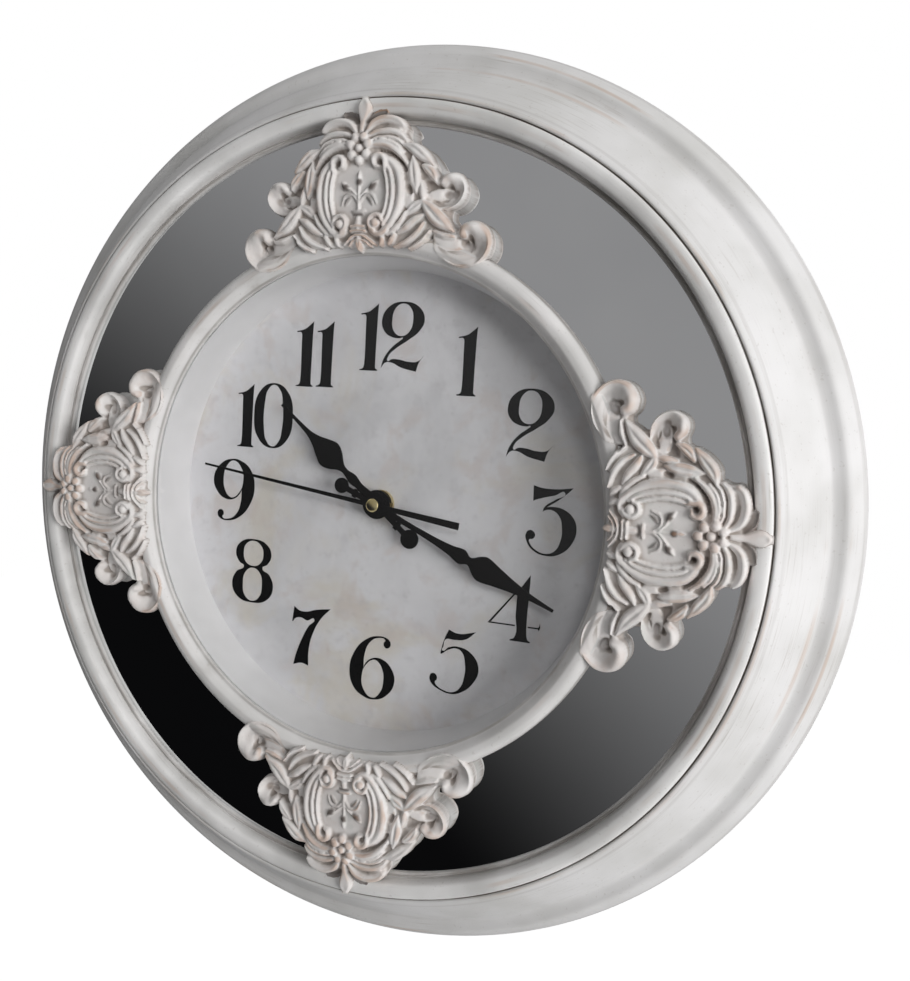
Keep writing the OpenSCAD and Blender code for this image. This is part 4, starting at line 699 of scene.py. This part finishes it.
# %% Strokes of the relief
# back, points, half widths, heights and, for some, a dark stain, which is painted shade in the fan's cups and
# partly dark wash, partly painted shade on the sprig: millimetres from the middle of the medallion, the right
# half only, since the casting is mirrored.
STROKES = [
    # web and field
    ("flat", [(0, -6), (0, 8), (0, 20)], [13.5, 18, 9], [9.2, 9.2, 9.2]),
    ("flat", [(8, 20), (14, 25)], [5, 3.4], [10, 9.6]),
    ("flat", [(18, 16), (25, 13), (30.5, 7)], [3.4, 3, 1.6], [8.2, 8.2, 7.6]),
    ("flat", [(22.5, 9), (24.5, 1), (28.5, -6), (35.5, -12.5)], [2.4, 3, 3.6, 2.2], [8.6, 8.6, 8.6, 7.8]),
    ("flat", [(26.5, -9.5), (21, -13.5), (12, -15.5)], [3.2, 4.4, 4], [9.2, 9.2, 9.2]),
    ("flat", [(9, 13), (14.8, 9), (16.6, 1), (15.6, -7), (9.5, -14)], [3, 3.6, 3.3, 3.3, 2.6], [11.6] * 5),
    ("flat", [(20, 11), (20.8, 4), (21.2, -4)], [2, 2.2, 2.4], [10.2, 10, 10.4]),
    ("flat", [(0, -4), (0, 7)], [12, 12], [11.2, 11.2]),
    # fan
    # The lobes' stain is painted shade in their hollow cups.
    ("lobe", [(2, 29.2), (5.2, 32.2), (8.8, 33)], [1.1, 1.8, 1.8], [9.2, 8.9, 8.6], 0.75),
    ("reed", [(2.6, 24.8), (5, 28), (8.4, 29.4), (12.4, 29.5), (16, 28.4), (18, 26.6)],
     [1.2, 1.8, 2.1, 2.1, 1.9, 1.4], [11.4, 11.7, 11.7, 11.5, 11, 10.4]),
    ("round", [(3, 22.4), (6.4, 24.2), (10, 24.7), (14, 24.4), (17.4, 23), (19.4, 21.2)],
     [1, 1.3, 1.4, 1.4, 1.3, 0.9], [12.2, 12.5, 12.5, 12.2, 11.4, 10.6]),
    ("round", [(5.6, 21.4), (8, 22), (12.4, 22), (16.4, 20.8), (19, 18.6)], [0.7, 0.9, 0.9, 0.9, 0.6],
     [12.6, 12.8, 12.7, 12.2, 11.2]),
    ("round", [(5.2, 20), (9, 20.6), (12.6, 20.3), (16, 18.9), (19, 16.2)], [0.6, 0.8, 0.8, 0.8, 0.6],
     [12.8, 13, 12.9, 12.5, 11.6]),
    ("spoon", [(0, 24.5), (0, 27), (0, 30), (0, 34.6), (0, 37.2)], [1.3, 1.4, 1.7, 3.4, 2.2],
     [11.4, 11, 10.4, 10.2, 9.8]),
    # upper braid and side leaves
    ("leaf", [(19.6, 18.8), (23.4, 17.2), (27.2, 14.2), (31.6, 10.7)], [1.2, 2.7, 2.6, 0.6],
     [11, 11.6, 11.2, 9.8]),
    ("leaf", [(27.2, 10.4), (29.8, 8.6), (31.8, 6.2), (32.9, 3.6)], [1.2, 2.1, 1.9, 0.7],
     [10.2, 10.6, 10.4, 9.6]),
    ("leaf", [(22.6, 14.2), (23.2, 9.5), (23.9, 4.5), (24.6, 0)], [0.6, 2.7, 2.8, 0.7],
     [10.4, 11.6, 11.6, 10.4]),
    ("round", [(26.6, 4.4), (27.2, 0), (27.9, -4.4)], [0.7, 1.7, 0.6], [10, 10.8, 10.2]),
    # lower braid
    ("leaf", [(28, -4), (31, -7.4), (35, -11.5), (40.8, -15.6)], [1.4, 3.3, 3.3, 0.6],
     [11, 11.8, 11.4, 9.8]),
    ("round", [(32.4, -15.4), (36.4, -17), (40.8, -17.6)], [0.9, 1.3, 0.7], [10, 10.4, 9.8]),
    # blades over the bezel
    ("leaf", [(27.8, -3.8), (25.4, -4.8), (23, -6.4), (20.8, -8.8)], [1, 2.3, 2.3, 0.7],
     [10.8, 11.3, 11.3, 10.6]),
    ("round", [(27.8, -9), (24.6, -10.6), (21, -13.4), (17.2, -15.5)], [0.9, 1.9, 1.9, 0.7],
     [11, 11.9, 11.9, 10.9]),
    ("round", [(28.2, -12), (25.6, -16), (21.6, -19), (15.4, -21.3)], [0.8, 1.4, 1.5, 0.7],
     [11, 11.7, 11.7, 10.9]),
    ("round", [(31, -15.2), (28.6, -18.4), (25.6, -20.6), (21.9, -22.2)], [0.8, 1.1, 1.2, 0.7],
     [10.8, 11.4, 11.4, 10.9]),
    ("round", [(20.6, -7.5), (18.8, -11), (15.5, -14.5), (12.5, -16.5)], [0.8, 1.4, 1.4, 0.6],
     [11.6, 12, 11.9, 11.2]),
    ("round", [(15.8, -16.4), (14.4, -18.4), (13, -20.2)], [1, 1.5, 0.7], [11.4, 11.6, 11]),
    ("round", [(10.6, -16.6), (10.2, -18.6), (9.4, -20.4)], [1.2, 1.5, 0.8], [11.6, 11.6, 11]),
    # medallion: leaf over it, bands, volutes and balls
    ("round", [(5.5, 19), (9.5, 19.3), (13.5, 18.1), (17.2, 15.4), (20.4, 11.4)],
     [0.9, 1.3, 1.5, 1.6, 0.8], [13, 13.1, 12.9, 12.5, 11.2]),
    ("round", [(10, 14.2), (13.4, 12.6), (16.6, 8.9), (18.1, 4), (18.2, -1.5), (17, -7), (14.2, -12.2),
               (10.6, -14.9)], [1.2, 1.6, 1.8, 1.8, 1.8, 1.7, 1.6, 1.2],
     [13, 13, 12.9, 12.9, 12.9, 12.9, 12.8, 12.6]),
    ("round", [(11.8, 11.6), (13.9, 8.2), (15, 2.5), (14.9, -3), (13.6, -8.5), (11, -12.8)],
     [0.8, 1.1, 1.2, 1.2, 1.1, 0.8], [13.3, 13.2, 13.1, 13.1, 13.1, 13]),
    ("round", [(11.2, 9.5), (12.4, 5), (12.8, 0), (12.2, -5), (10.6, -10)], [0.9, 1, 1, 1, 0.9],
     [13.1, 13, 12.9, 12.9, 13]),
    ("round", [(11.8, 10), (11.4, 13.6), (9, 15), (6.9, 13.6), (7.2, 11.2), (8.8, 10.8)],
     [1.2, 1.5, 1.6, 1.5, 1.2, 0.9], [13.8, 14.2, 14.4, 14.4, 14, 13.4]),
    ("round", [(10.9, -11), (9.8, -8.9), (7.2, -8.6), (5.3, -10.6), (5.6, -13.2), (7.4, -14.6)],
     [0.9, 1.1, 1.2, 1.2, 1.1, 0.9], [13.6, 13.9, 14, 14, 13.8, 13.4]),
    ("ball", [(8, -11.8), (8.1, -11.9)], [1.9, 1.9], [14.5, 14.5]),
    ("round", [(14.2, -12.4), (11.2, -15.6), (8, -16), (5.4, -14.6)], [1.2, 1.2, 1.1, 0.8],
     [12.8, 12.9, 12.9, 12.7]),
    # rosette
    ("ball", [(0, 13.5), (0, 13.7)], [1.9, 1.9], [14.2, 14.2]),
    ("ball", [(3.2, 15.6), (3.5, 15.4)], [2, 1.8], [14.3, 14.1]),
    ("ball", [(3.9, 19.6), (4.4, 19.8)], [2, 1.8], [14.3, 14.1]),
    ("ball", [(1.8, 22.4), (2, 22.8)], [1.8, 1.6], [14.1, 13.8]),
    ("ball", [(0, 18), (0, 18.3)], [1.5, 1.5], [14.4, 14.4]),
    # sprig on the field; its stains are partly dark wash and partly painted shade
    ("round", [(0, -6), (0.1, -3), (0, 0), (0, 3.4)], [0.8, 0.65, 0.55, 0.5], [12.3, 12.4, 12.3, 12.2]),
    ("ball", [(0, 4.6), (0, 5.1)], [1.2, 1.2], [12.5, 12.5], 0.95),
    ("round", [(0, 6.2), (0, 7.4), (0, 8.8)], [0.8, 0.9, 0.4], [12.4, 12.5, 12]),
    ("round", [(0.4, -1), (2.4, 0.9), (4.2, 2.3), (5.4, 2.9)], [0.45, 0.5, 0.55, 0.6],
     [12.2, 12.4, 12.5, 12.4]),
    ("round", [(4.6, 2.2), (6.2, 3), (7.4, 4)], [0.8, 1.6, 0.7], [12.4, 12.8, 12.4], 0.95),
    ("round", [(6.4, 4.2), (8, 4.9)], [0.6, 0.4], [12.6, 12.2]),
    ("round", [(0.5, -3.2), (2, -1), (4, 0), (6.3, -0.8), (7.8, -4)], [0.45, 0.55, 0.65, 0.7, 0.4],
     [12.2, 12.4, 12.5, 12.4, 12], 0.3),
    ("round", [(3.7, -1.4), (5, -2.2), (6.1, -4)], [0.5, 1, 0.5], [12, 12.2, 12], 0.7),
    ("round", [(0, -7), (2.4, -6.9)], [0.9, 0.7], [12.9, 12.6], 0.25),
    ("round", [(0, -8.4), (2, -8.3)], [0.7, 0.6], [12.1, 12], 0.9),
    # foot of the medallion: stepped bars, arches and a drop
    ("round", [(0, -9.6), (0, -11.4)], [1.4, 1.8], [12.8, 13]),
    ("round", [(0, -12.7), (3, -12.9)], [1, 0.8], [13.5, 13.3]),
    ("round", [(0, -14.4), (3.4, -14.7)], [0.8, 0.7], [13.3, 13.1]),
    ("round", [(0, -16.2), (3, -17), (6.8, -20)], [0.75, 0.85, 0.7], [12.8, 12.6, 11.3]),
    ("round", [(0, -17.8), (2.8, -18.7), (4.8, -20.6)], [0.6, 0.65, 0.6], [12.2, 12.1, 11.2]),
    ("leaf", [(0, -17.5), (0, -20), (0, -22.2)], [1, 1.8, 0.8], [12.2, 12.1, 11.2]),
    # scrolls: a dish that rolls up into a bulb
    ("flat", [(33.5, -17.8), (37, -19.6), (41, -20.6), (45.5, -20.4)], [2, 2.6, 2.6, 2.2],
     [8.2, 7.8, 7.2, 6]),
    ("flat", [(30.6, -1), (33.4, -0.6), (37.4, -0.6)], [2, 2.4, 2.2], [7.8, 7.2, 6]),
    ("scroll", [(32.8, -17.6), (34.8, -22.4), (38.8, -26), (44, -27.4), (49, -26.2), (52.2, -22),
                (52.2, -17.4), (49.4, -14.4), (46, -14.6), (44.8, -16.4)],
     [1.5, 1.9, 2.2, 2.5, 3.2, 4, 4, 3.4, 3, 2.4],
     [9.4, 9.5, 9.6, 9.8, 10, 10.3, 10.7, 10.9, 10.9, 10.6]),
    ("scroll", [(29.2, -2.8), (32.8, -4.6), (37.4, -5.1), (41, -3), (42.6, 1), (41, 4.8), (38, 5.4),
                (35.8, 4)], [1, 1.5, 1.8, 2.4, 3, 2.9, 2.5, 2.2],
     [9.6, 9.7, 9.8, 10, 10.3, 10.6, 10.6, 10.3]),
]
# cuts for eyes and deep creases: points, half width and depth
CUTS = [([(44.5, -20.2), (44.8, -20.2)], 1.6, 5), ([(45.8, -22), (47.6, -21.4)], 1.9, 3),
        ([(36.4, -0.8), (37.2, -0.8)], 1.4, 4.5), ([(39, -0.8), (40, -0.4)], 1.7, 2.5),
        ([(9.2, 12.3), (9.3, 12.2)], 1.2, 3.5), ([(9.2, -13.8), (10, -13.2)], 0.7, 1.5),
        ([(8.6, 16.9), (13.6, 15.9), (17.8, 12.6), (19.9, 9)], 0.8, 3), ([(0, 15.8), (0, 15.9)], 0.8, 2),
        ([(0, 20.6), (0, 20.8)], 0.8, 2.2), ([(0, 23.9), (0, 24.1)], 1, 2),
        ([(21.4, 2.2), (21.9, 0.4)], 1.2, 3), ([(41.4, -15.4), (44.6, -11.6)], 0.5, 1.6),
        ([(33.8, 5.2), (36, 7.8)], 0.45, 1.3), ([(30.2, -18), (30.5, -17.6)], 0.9, 4)]
print(len(STROKES), "strokes and", len(CUTS), "cuts")

# %% [markdown]
# Across a stroke, q runs from -1 on one side to 1 on the other, and along it k runs from 0 to 1. The back
# of each kind is a small formula of the two. Near its edge every back rolls down to the rim, so a leaf
# has a thick round side and not a knife edge.

# %% The back of a stroke
RIM = 3.4


def fall_of(kind, q, k, half, top):
    """How far the back of a stroke lies below its crest."""
    drop = 1 - np.sqrt(np.clip(1 - q * q, 0, 1))
    small = np.clip(half / 2, 0.35, 1)
    if kind == "flat":
        return 0.4 * drop
    if kind == "ball":
        return half * drop
    if kind == "scroll":
        roll = np.clip((k - 0.5) / 0.3, 0, 1)
        roll = roll * roll * (3 - 2 * roll)
        dish = 0.34 * np.clip((q + 0.85) / 1.7, 0, 1) + 0.22 * (1 - q * q)
        dish = np.where(q < -0.7, dish + 5.5 * (q + 0.7) ** 2, dish)
        return top * dish * (1 - roll) + (top - RIM) * drop * roll
    if kind == "leaf":
        fall = 2.6 * drop + 0.9 * np.exp(-((q / 0.19) ** 2)) * np.sin(np.pi * np.clip(k * 1.1, 0, 1))
    elif kind == "reed":
        fall = 2.4 * drop + 0.6 * np.exp(-(((q + 0.3) / 0.17) ** 2))
    elif kind == "spoon":
        fall = 1.3 * drop + 0.5 * np.exp(-((q / 0.5) ** 2)) * np.clip(k * 1.4 - 0.4, 0, 1)
    elif kind == "lobe":
        fall = 2.2 * (1 - q * q)
    else:
        fall = 2.8 * drop
    edge = np.clip((np.abs(q) - 0.72) / 0.28, 0, 1) ** 2
    return fall * small + (top - 2.6 * small - RIM) * edge


def nearest(points, widths, s, t, samples):
    """For each point of the sheet: relative distance, side, way along and half width of the nearest bit."""
    way = flowing(points, samples)
    half = flowing([(w, 0) for w in widths], samples)[:, 0]
    step = np.gradient(way, axis=0)
    dx, dy = s[:, None] - way[None, :, 0], t[:, None] - way[None, :, 1]
    q = np.hypot(dx, dy) / half[None, :]
    i = q.argmin(1)
    rows = np.arange(len(s))
    side = np.sign(step[i, 0] * dy[rows, i] - step[i, 1] * dx[rows, i])
    return q[rows, i], side, i / (samples - 1), half[i]


middle_fall = float(fall_of("leaf", np.array([0.0]), np.array([0.5]), np.array([2.0]), np.array([10.0]))[0])
print("a leaf's vein is", round(middle_fall, 2), "mm deep")

# %% [markdown]
# The sheet is a grid of heights. The strokes are pressed into it one after another, the gaps between
# neighbours are filled to a shallow groove, as thick paint fills them, and the eyes of the scrolls are
# cut last. A second grid keeps how far inside the outline each point lies.

# %% Press the sheet
CELL = 0.35
HALF_W, LOW, HIGH = 58.0, -32.0, 40.0
GROOVE, FILL_REACH, BED_REACH, FILL_W = 2.3, 1.4, 1.7, 50
s_grid, t_grid = np.meshgrid(-HALF_W + CELL * np.arange(int(2 * HALF_W / CELL) + 1),
                             LOW + CELL * np.arange(int((HIGH - LOW) / CELL) + 1))


def closed(field, reach):
    """Fill the narrow gaps of a field: the highest value round each point, then the lowest of those."""
    n = int(reach / CELL)
    for pick in (np.max, np.min):
        for axis in (0, 1):
            padded = np.pad(field, [(n, n) if axis == a else (0, 0) for a in (0, 1)], mode="edge")
            field = pick(np.lib.stride_tricks.sliding_window_view(padded, 2 * n + 1, axis), axis=-1)
    return field


def pressed_sheet():
    s, t = np.abs(s_grid).ravel(), t_grid.ravel()
    height, inside, stain_and_shade = np.zeros_like(s), np.full_like(s, -9.0), np.zeros_like(s)
    for kind, points, widths, heights, *tone in STROKES:
        reach = max(widths) * 1.25 + 1
        box = np.array(points)
        near = ((s > box[:, 0].min() - reach) & (s < box[:, 0].max() + reach)
                & (t > box[:, 1].min() - reach) & (t < box[:, 1].max() + reach))
        q, side, k, half = nearest(points, widths, s[near], t[near], 14 * len(points))
        top = np.interp(k, np.linspace(0, 1, len(heights)), heights)
        raised = top - fall_of(kind, np.clip(q, 0, 1) * side, k, half, top)
        raised = np.where(q < 1, raised, np.where(q < 1.3, raised - 40 * (q - 1) * half, 0))
        stain_and_shade[near] = np.where(raised > height[near], tone[0] if tone else 0.0, stain_and_shade[near])
        height[near] = np.maximum(height[near], raised)
        inside[near] = np.maximum(inside[near], (1 - q) * half)
    height, inside, stain_and_shade = (field.reshape(s_grid.shape) for field in (height, inside, stain_and_shade))
    filled = (closed((inside > 0).astype(float), FILL_REACH) > 0.5) & (np.abs(s_grid) < FILL_W)
    height = np.where(filled, np.maximum(height, closed(height, BED_REACH) - GROOVE), height)
    inside = np.where(filled, np.maximum(inside, 0.35), inside)
    for points, width, depth in CUTS:
        q = nearest(points, [width] * len(points), s, t, 12)[0]
        height -= (depth * np.exp(-((q * 1.4) ** 2))).reshape(s_grid.shape)
    return height, inside, stain_and_shade


relief, inside, stain_and_shade = pressed_sheet()
print("sheet", relief.shape, "highest", round(float(relief.max()), 2))

# %% [markdown]
# A cast edge is never sharp, so the sheet is blurred a little. The difference between the sheet and a
# softer copy of it shows the hollows and the proud edges, which the paint reads later.

# %% Soften and read the sheet
def blurred(field, size):
    """A soft copy of a field, by a bell-shaped window along both ways."""
    reach = int(3 * size / CELL) + 1
    bell = np.exp(-0.5 * (np.arange(-reach, reach + 1) * CELL / size) ** 2)
    bell /= bell.sum()
    padded = np.pad(field, reach, mode="edge")
    padded = np.apply_along_axis(np.convolve, 0, padded, bell, "valid")
    return np.apply_along_axis(np.convolve, 1, padded, bell, "valid")


def read(field, s, t):
    """Read a field of the sheet between its points."""
    x = np.clip((s + HALF_W) / CELL, 0, field.shape[1] - 1.001)
    y = np.clip((t - LOW) / CELL, 0, field.shape[0] - 1.001)
    i, j = x.astype(int), y.astype(int)
    f, g = x - i, y - j
    return ((field[j, i] * (1 - f) + field[j, i + 1] * f) * (1 - g)
            + (field[j + 1, i] * (1 - f) + field[j + 1, i + 1] * f) * g)


def slope(field, s, t, reach):
    """How fast a field rises along s and along t."""
    return ((read(field, s + reach, t) - read(field, s - reach, t)) / (2 * reach),
            (read(field, s, t + reach) - read(field, s, t - reach)) / (2 * reach))


relief = blurred(np.maximum(relief, 3.0), 0.22)
bulk = np.maximum(relief, 5.0)
marks = {"hollow": np.clip((blurred(bulk, 1.6) - bulk) / 1.3, 0, 1),
         "proud": np.clip((bulk - blurred(bulk, 1.1)) / 0.8, 0, 1), "stain_and_shade": blurred(stain_and_shade, 0.25)}
bowl, inside = blurred(inside, 0.9), blurred(inside, 0.3)
print({key: round(float(field.mean()), 3) for key, field in marks.items()})

# %% [markdown]
# The outline is cut from a flat grid. Cutting leaves a rim of small steps, so the rim's points are drawn
# onto the true outline and smoothed, a few times over. All four castings start from this sheet.

# %% Cut the outline
RIM_PASSES = 5


def cut_sheet():
    bm = bmesh.new()
    size = Matrix.Diagonal((HALF_W, (HIGH - LOW) / 2, 1, 1))
    bmesh.ops.create_grid(bm, x_segments=s_grid.shape[1] - 1, y_segments=s_grid.shape[0] - 1, size=1.0,
                          matrix=Matrix.Translation((0, (HIGH + LOW) / 2, 0)) @ size)
    spots = np.array([v.co for v in bm.verts])
    outside = read(inside, spots[:, 0], spots[:, 1]) <= -0.05
    bmesh.ops.delete(bm, geom=[v for v, out in zip(list(bm.verts), outside) if out], context="VERTS")
    bmesh.ops.delete(bm, geom=[v for v in bm.verts if not v.link_faces], context="VERTS")
    rim = [v for v in bm.verts if v.is_boundary]
    for _ in range(RIM_PASSES):
        s, t = np.array([v.co[:2] for v in rim]).T
        gx, gy = slope(inside, s, t, 0.2)
        move = np.clip(-read(inside, s, t), -0.3, 0.3) / np.maximum(gx * gx + gy * gy, 0.2)
        for v, mx, my in zip(rim, move * gx, move * gy):
            v.co.x += mx
            v.co.y += my
        bmesh.ops.smooth_vert(bm, verts=rim, factor=0.5, use_axis_x=True, use_axis_y=True)
    return bm


flat_sheet = cut_sheet()
print("outline cut,", len(flat_sheet.verts), "points")

# %% [markdown]
# The sheet is extruded into a closed body. Its front takes the relief, and its back sits on what carries
# it: the mirror, and further in and out the bezel and the bead. Near the outline the back is drawn in a
# little, so the casting overhangs and throws a fine shadow on the mirror.

# %% Raise the castings
ORNAMENT_R = 128.5
UNDERCUT, UNDERCUT_REACH = 1.0, 1.3
BEAD_MID_R, SKIN = 165.5, 0.4


def seat_under(r):
    """Height above the mirror of what an ornament stands on, at a distance from the hub."""
    round_of = np.sqrt(np.clip(1 - ((r - crest_r) / (bezel_r - crest_r)) ** 2, 0, 1))
    over_bezel = np.where(r < bezel_r, 2 + 6.1 * round_of, 0)
    over_bezel = np.where(r < crest_r, np.maximum(5.2, 8.1 - 0.6 * (crest_r - r)), over_bezel)
    round_of = np.sqrt(np.clip(1 - ((BEAD_MID_R - r) / (BEAD_MID_R - bead_r)) ** 2, 0, 1))
    over_bead = np.where(r > bead_r, 1.6 + 5.9 * round_of, 0)
    return np.maximum(0.02, np.where(r > BEAD_MID_R, 7.5, np.maximum(over_bezel, over_bead)))


def ornament(name, degrees):
    """Grow the flat sheet into a casting and set it on the clock, turned about the hub."""
    bm = flat_sheet.copy()
    layers = {key: bm.verts.layers.float.new(key) for key in marks}
    grown = bmesh.ops.extrude_face_region(bm, geom=bm.faces[:], use_keep_orig=True)
    upper = [v for v in grown["geom"] if isinstance(v, bmesh.types.BMVert)]
    front = set(upper)
    lower = [v for v in bm.verts if v not in front]
    turn_matrix = Matrix.Rotation(math.radians(-degrees), 2)
    for group, raised in ((upper, True), (lower, False)):
        s, t = np.array([v.co[:2] for v in group]).T
        if not raised:
            gx, gy = slope(bowl, s, t, 0.4)
            shift = UNDERCUT * np.exp(-np.maximum(read(inside, s, t), 0) / UNDERCUT_REACH)
            s, t = s + gx * shift, t + gy * shift
        seat = seat_under(np.hypot(s, t + ORNAMENT_R))
        z = np.maximum(read(relief, s, t), seat + SKIN) if raised else seat
        for key, field in marks.items():
            for v, amount in zip(group, read(field, s, t)):
                v[layers[key]] = float(amount) if raised else 0.0
        for v, s_here, t_here, z_here in zip(group, s, t, z):
            u = turn_matrix @ Vector((s_here, t_here + ORNAMENT_R))
            v.co = place(u.x, u.y, mirror_z + z_here)
    bmesh.ops.recalc_face_normals(bm, faces=bm.faces)
    finish_piece("relief_" + name, bm, "cast_paint", ["ornament_" + name], 55.0)


for name, degrees in (("top", 0), ("right", 90), ("bottom", 180), ("left", 270)):
    ornament(name, degrees)
flat_sheet.free()

# %% [markdown]
# ## Stage and light
# The clock hangs high above a plain white floor. The floor could be lit until it is white, but then the
# object would be too bright. So it glows, and only to the camera, straight or through glass.

# %% Stage
FLOOR_Z, FLOOR_HALF = -1.1, 4.0
tree, shader, where = new_finish("floor_paint")
tooth = use_group(tree, grain, {"Vector": where, "Fine": 60.0, "Coarse": 1.5})
dress(tree, shader, blend(tree, tooth["Coarse"], linear("F4F4F4"), linear("EFEFEF")), 0.9)
ray = tree.nodes.new("ShaderNodeLightPath").outputs
seen = times(tree, sums(tree, "MAXIMUM", ray["Is Camera Ray"], ray["Is Transmission Ray"]), 0.9)
mix_out(tree, seen, shader, put(tree, "Emission", {"Color": (1, 1, 1, 1), "Strength": 1.07}))
floor_bm = bmesh.new()
bmesh.ops.create_grid(floor_bm, x_segments=8, y_segments=8, size=FLOOR_HALF,
                      matrix=Matrix.Translation((0, 0, FLOOR_Z)))
floor_mesh = bpy.data.meshes.new("floor")
floor_bm.to_mesh(floor_mesh)
floor_bm.free()
floor_mesh.materials.append(finishes["floor_paint"])
floor = bpy.data.objects.new("floor", floor_mesh)
scene.collection.objects.link(floor)
floor.visible_glossy = floor.visible_diffuse = False
print("floor at", FLOOR_Z, "m")

# %% [markdown]
# The mirror needs something to reflect: a plain studio that is dark low on the left and pale high on the
# right, with a bright right side for the gloss of the paint. Only gloss sees it. Matt surfaces get a soft
# light that is weak from the front and from the left and stronger from above and below. The camera sees
# white. One picture of a studio could do all this, but then no part of it could be set alone.

# %% World
world = bpy.data.worlds.new("studio")
scene.world = world
world.use_nodes = True
sky = world.node_tree
sky.nodes.clear()
ray = sky.nodes.new("ShaderNodeLightPath").outputs
look = sky.nodes.new("ShaderNodeTexCoord").outputs["Generated"]
side, deep, high = put(sky, "SeparateXYZ", {0: look}).outputs[:]
lean = sums(sky, "ADD", times(sky, side, 0.9), high)
studio = blend(sky, remap(sky, lean, -0.72, -0.12), linear("0C0C0D"), linear("9A999A"))
studio = blend(sky, remap(sky, high, -0.52, -0.8), studio, linear("A2A2A3"))
bright_side = sums(sky, "ADD", remap(sky, side, 0.72, 0.95, 0.0, 3.5), 1.0)
around = times(sky, remap(sky, deep, -0.75, 0.1, 0.1, 0.58), remap(sky, side, -0.7, 0.1, 0.36, 1.0))
around = times(sky, around, remap(sky, sums(sky, "ABSOLUTE", high), 0.1, 0.9, 0.95, 1.9))
ambient = put(sky, "Background", {"Color": (1, 1, 1, 1), "Strength": around}).outputs[0]
gloss = put(sky, "Background", {"Color": studio, "Strength": bright_side}).outputs[0]
white = put(sky, "Background", {"Color": (1, 1, 1, 1), "Strength": 1.0}).outputs[0]
lit = put(sky, "MixShader", {0: ray["Is Glossy Ray"], 1: ambient, 2: gloss}).outputs[0]
seen = sums(sky, "MAXIMUM", ray["Is Camera Ray"], ray["Is Transmission Ray"])
shown = put(sky, "MixShader", {0: seen, 1: lit, 2: white}).outputs[0]
put(sky, "OutputWorld", {0: shown})
print("world", world.name)

# %% [markdown]
# A large soft lamp stands to the right, level with the hub and near the plane of the wall, so the right of
# the sunk dial lies in the shade of its bezel and the left of the recess is bright. A weak lamp in front
# lifts what faces the camera. Neither shows in the mirror.

# %% Lamps
def lamp(name, where, size, power, colour=(1, 1, 1)):
    data = bpy.data.lights.new(name, "AREA")
    data.shape = "DISK"
    data.size = size
    data.energy = power
    data.color = colour
    made = bpy.data.objects.new(name, data)
    made.location = where
    made.rotation_euler = (hub - Vector(where)).to_track_quat("-Z", "Y").to_euler()
    made.visible_glossy = False
    scene.collection.objects.link(made)


lamp("key", (1.66, -0.99, -0.14), 1.0, 22.8, (1.0, 0.995, 0.99))
lamp("front", (0.8, -1.6, 0.55), 0.5, 5.0)
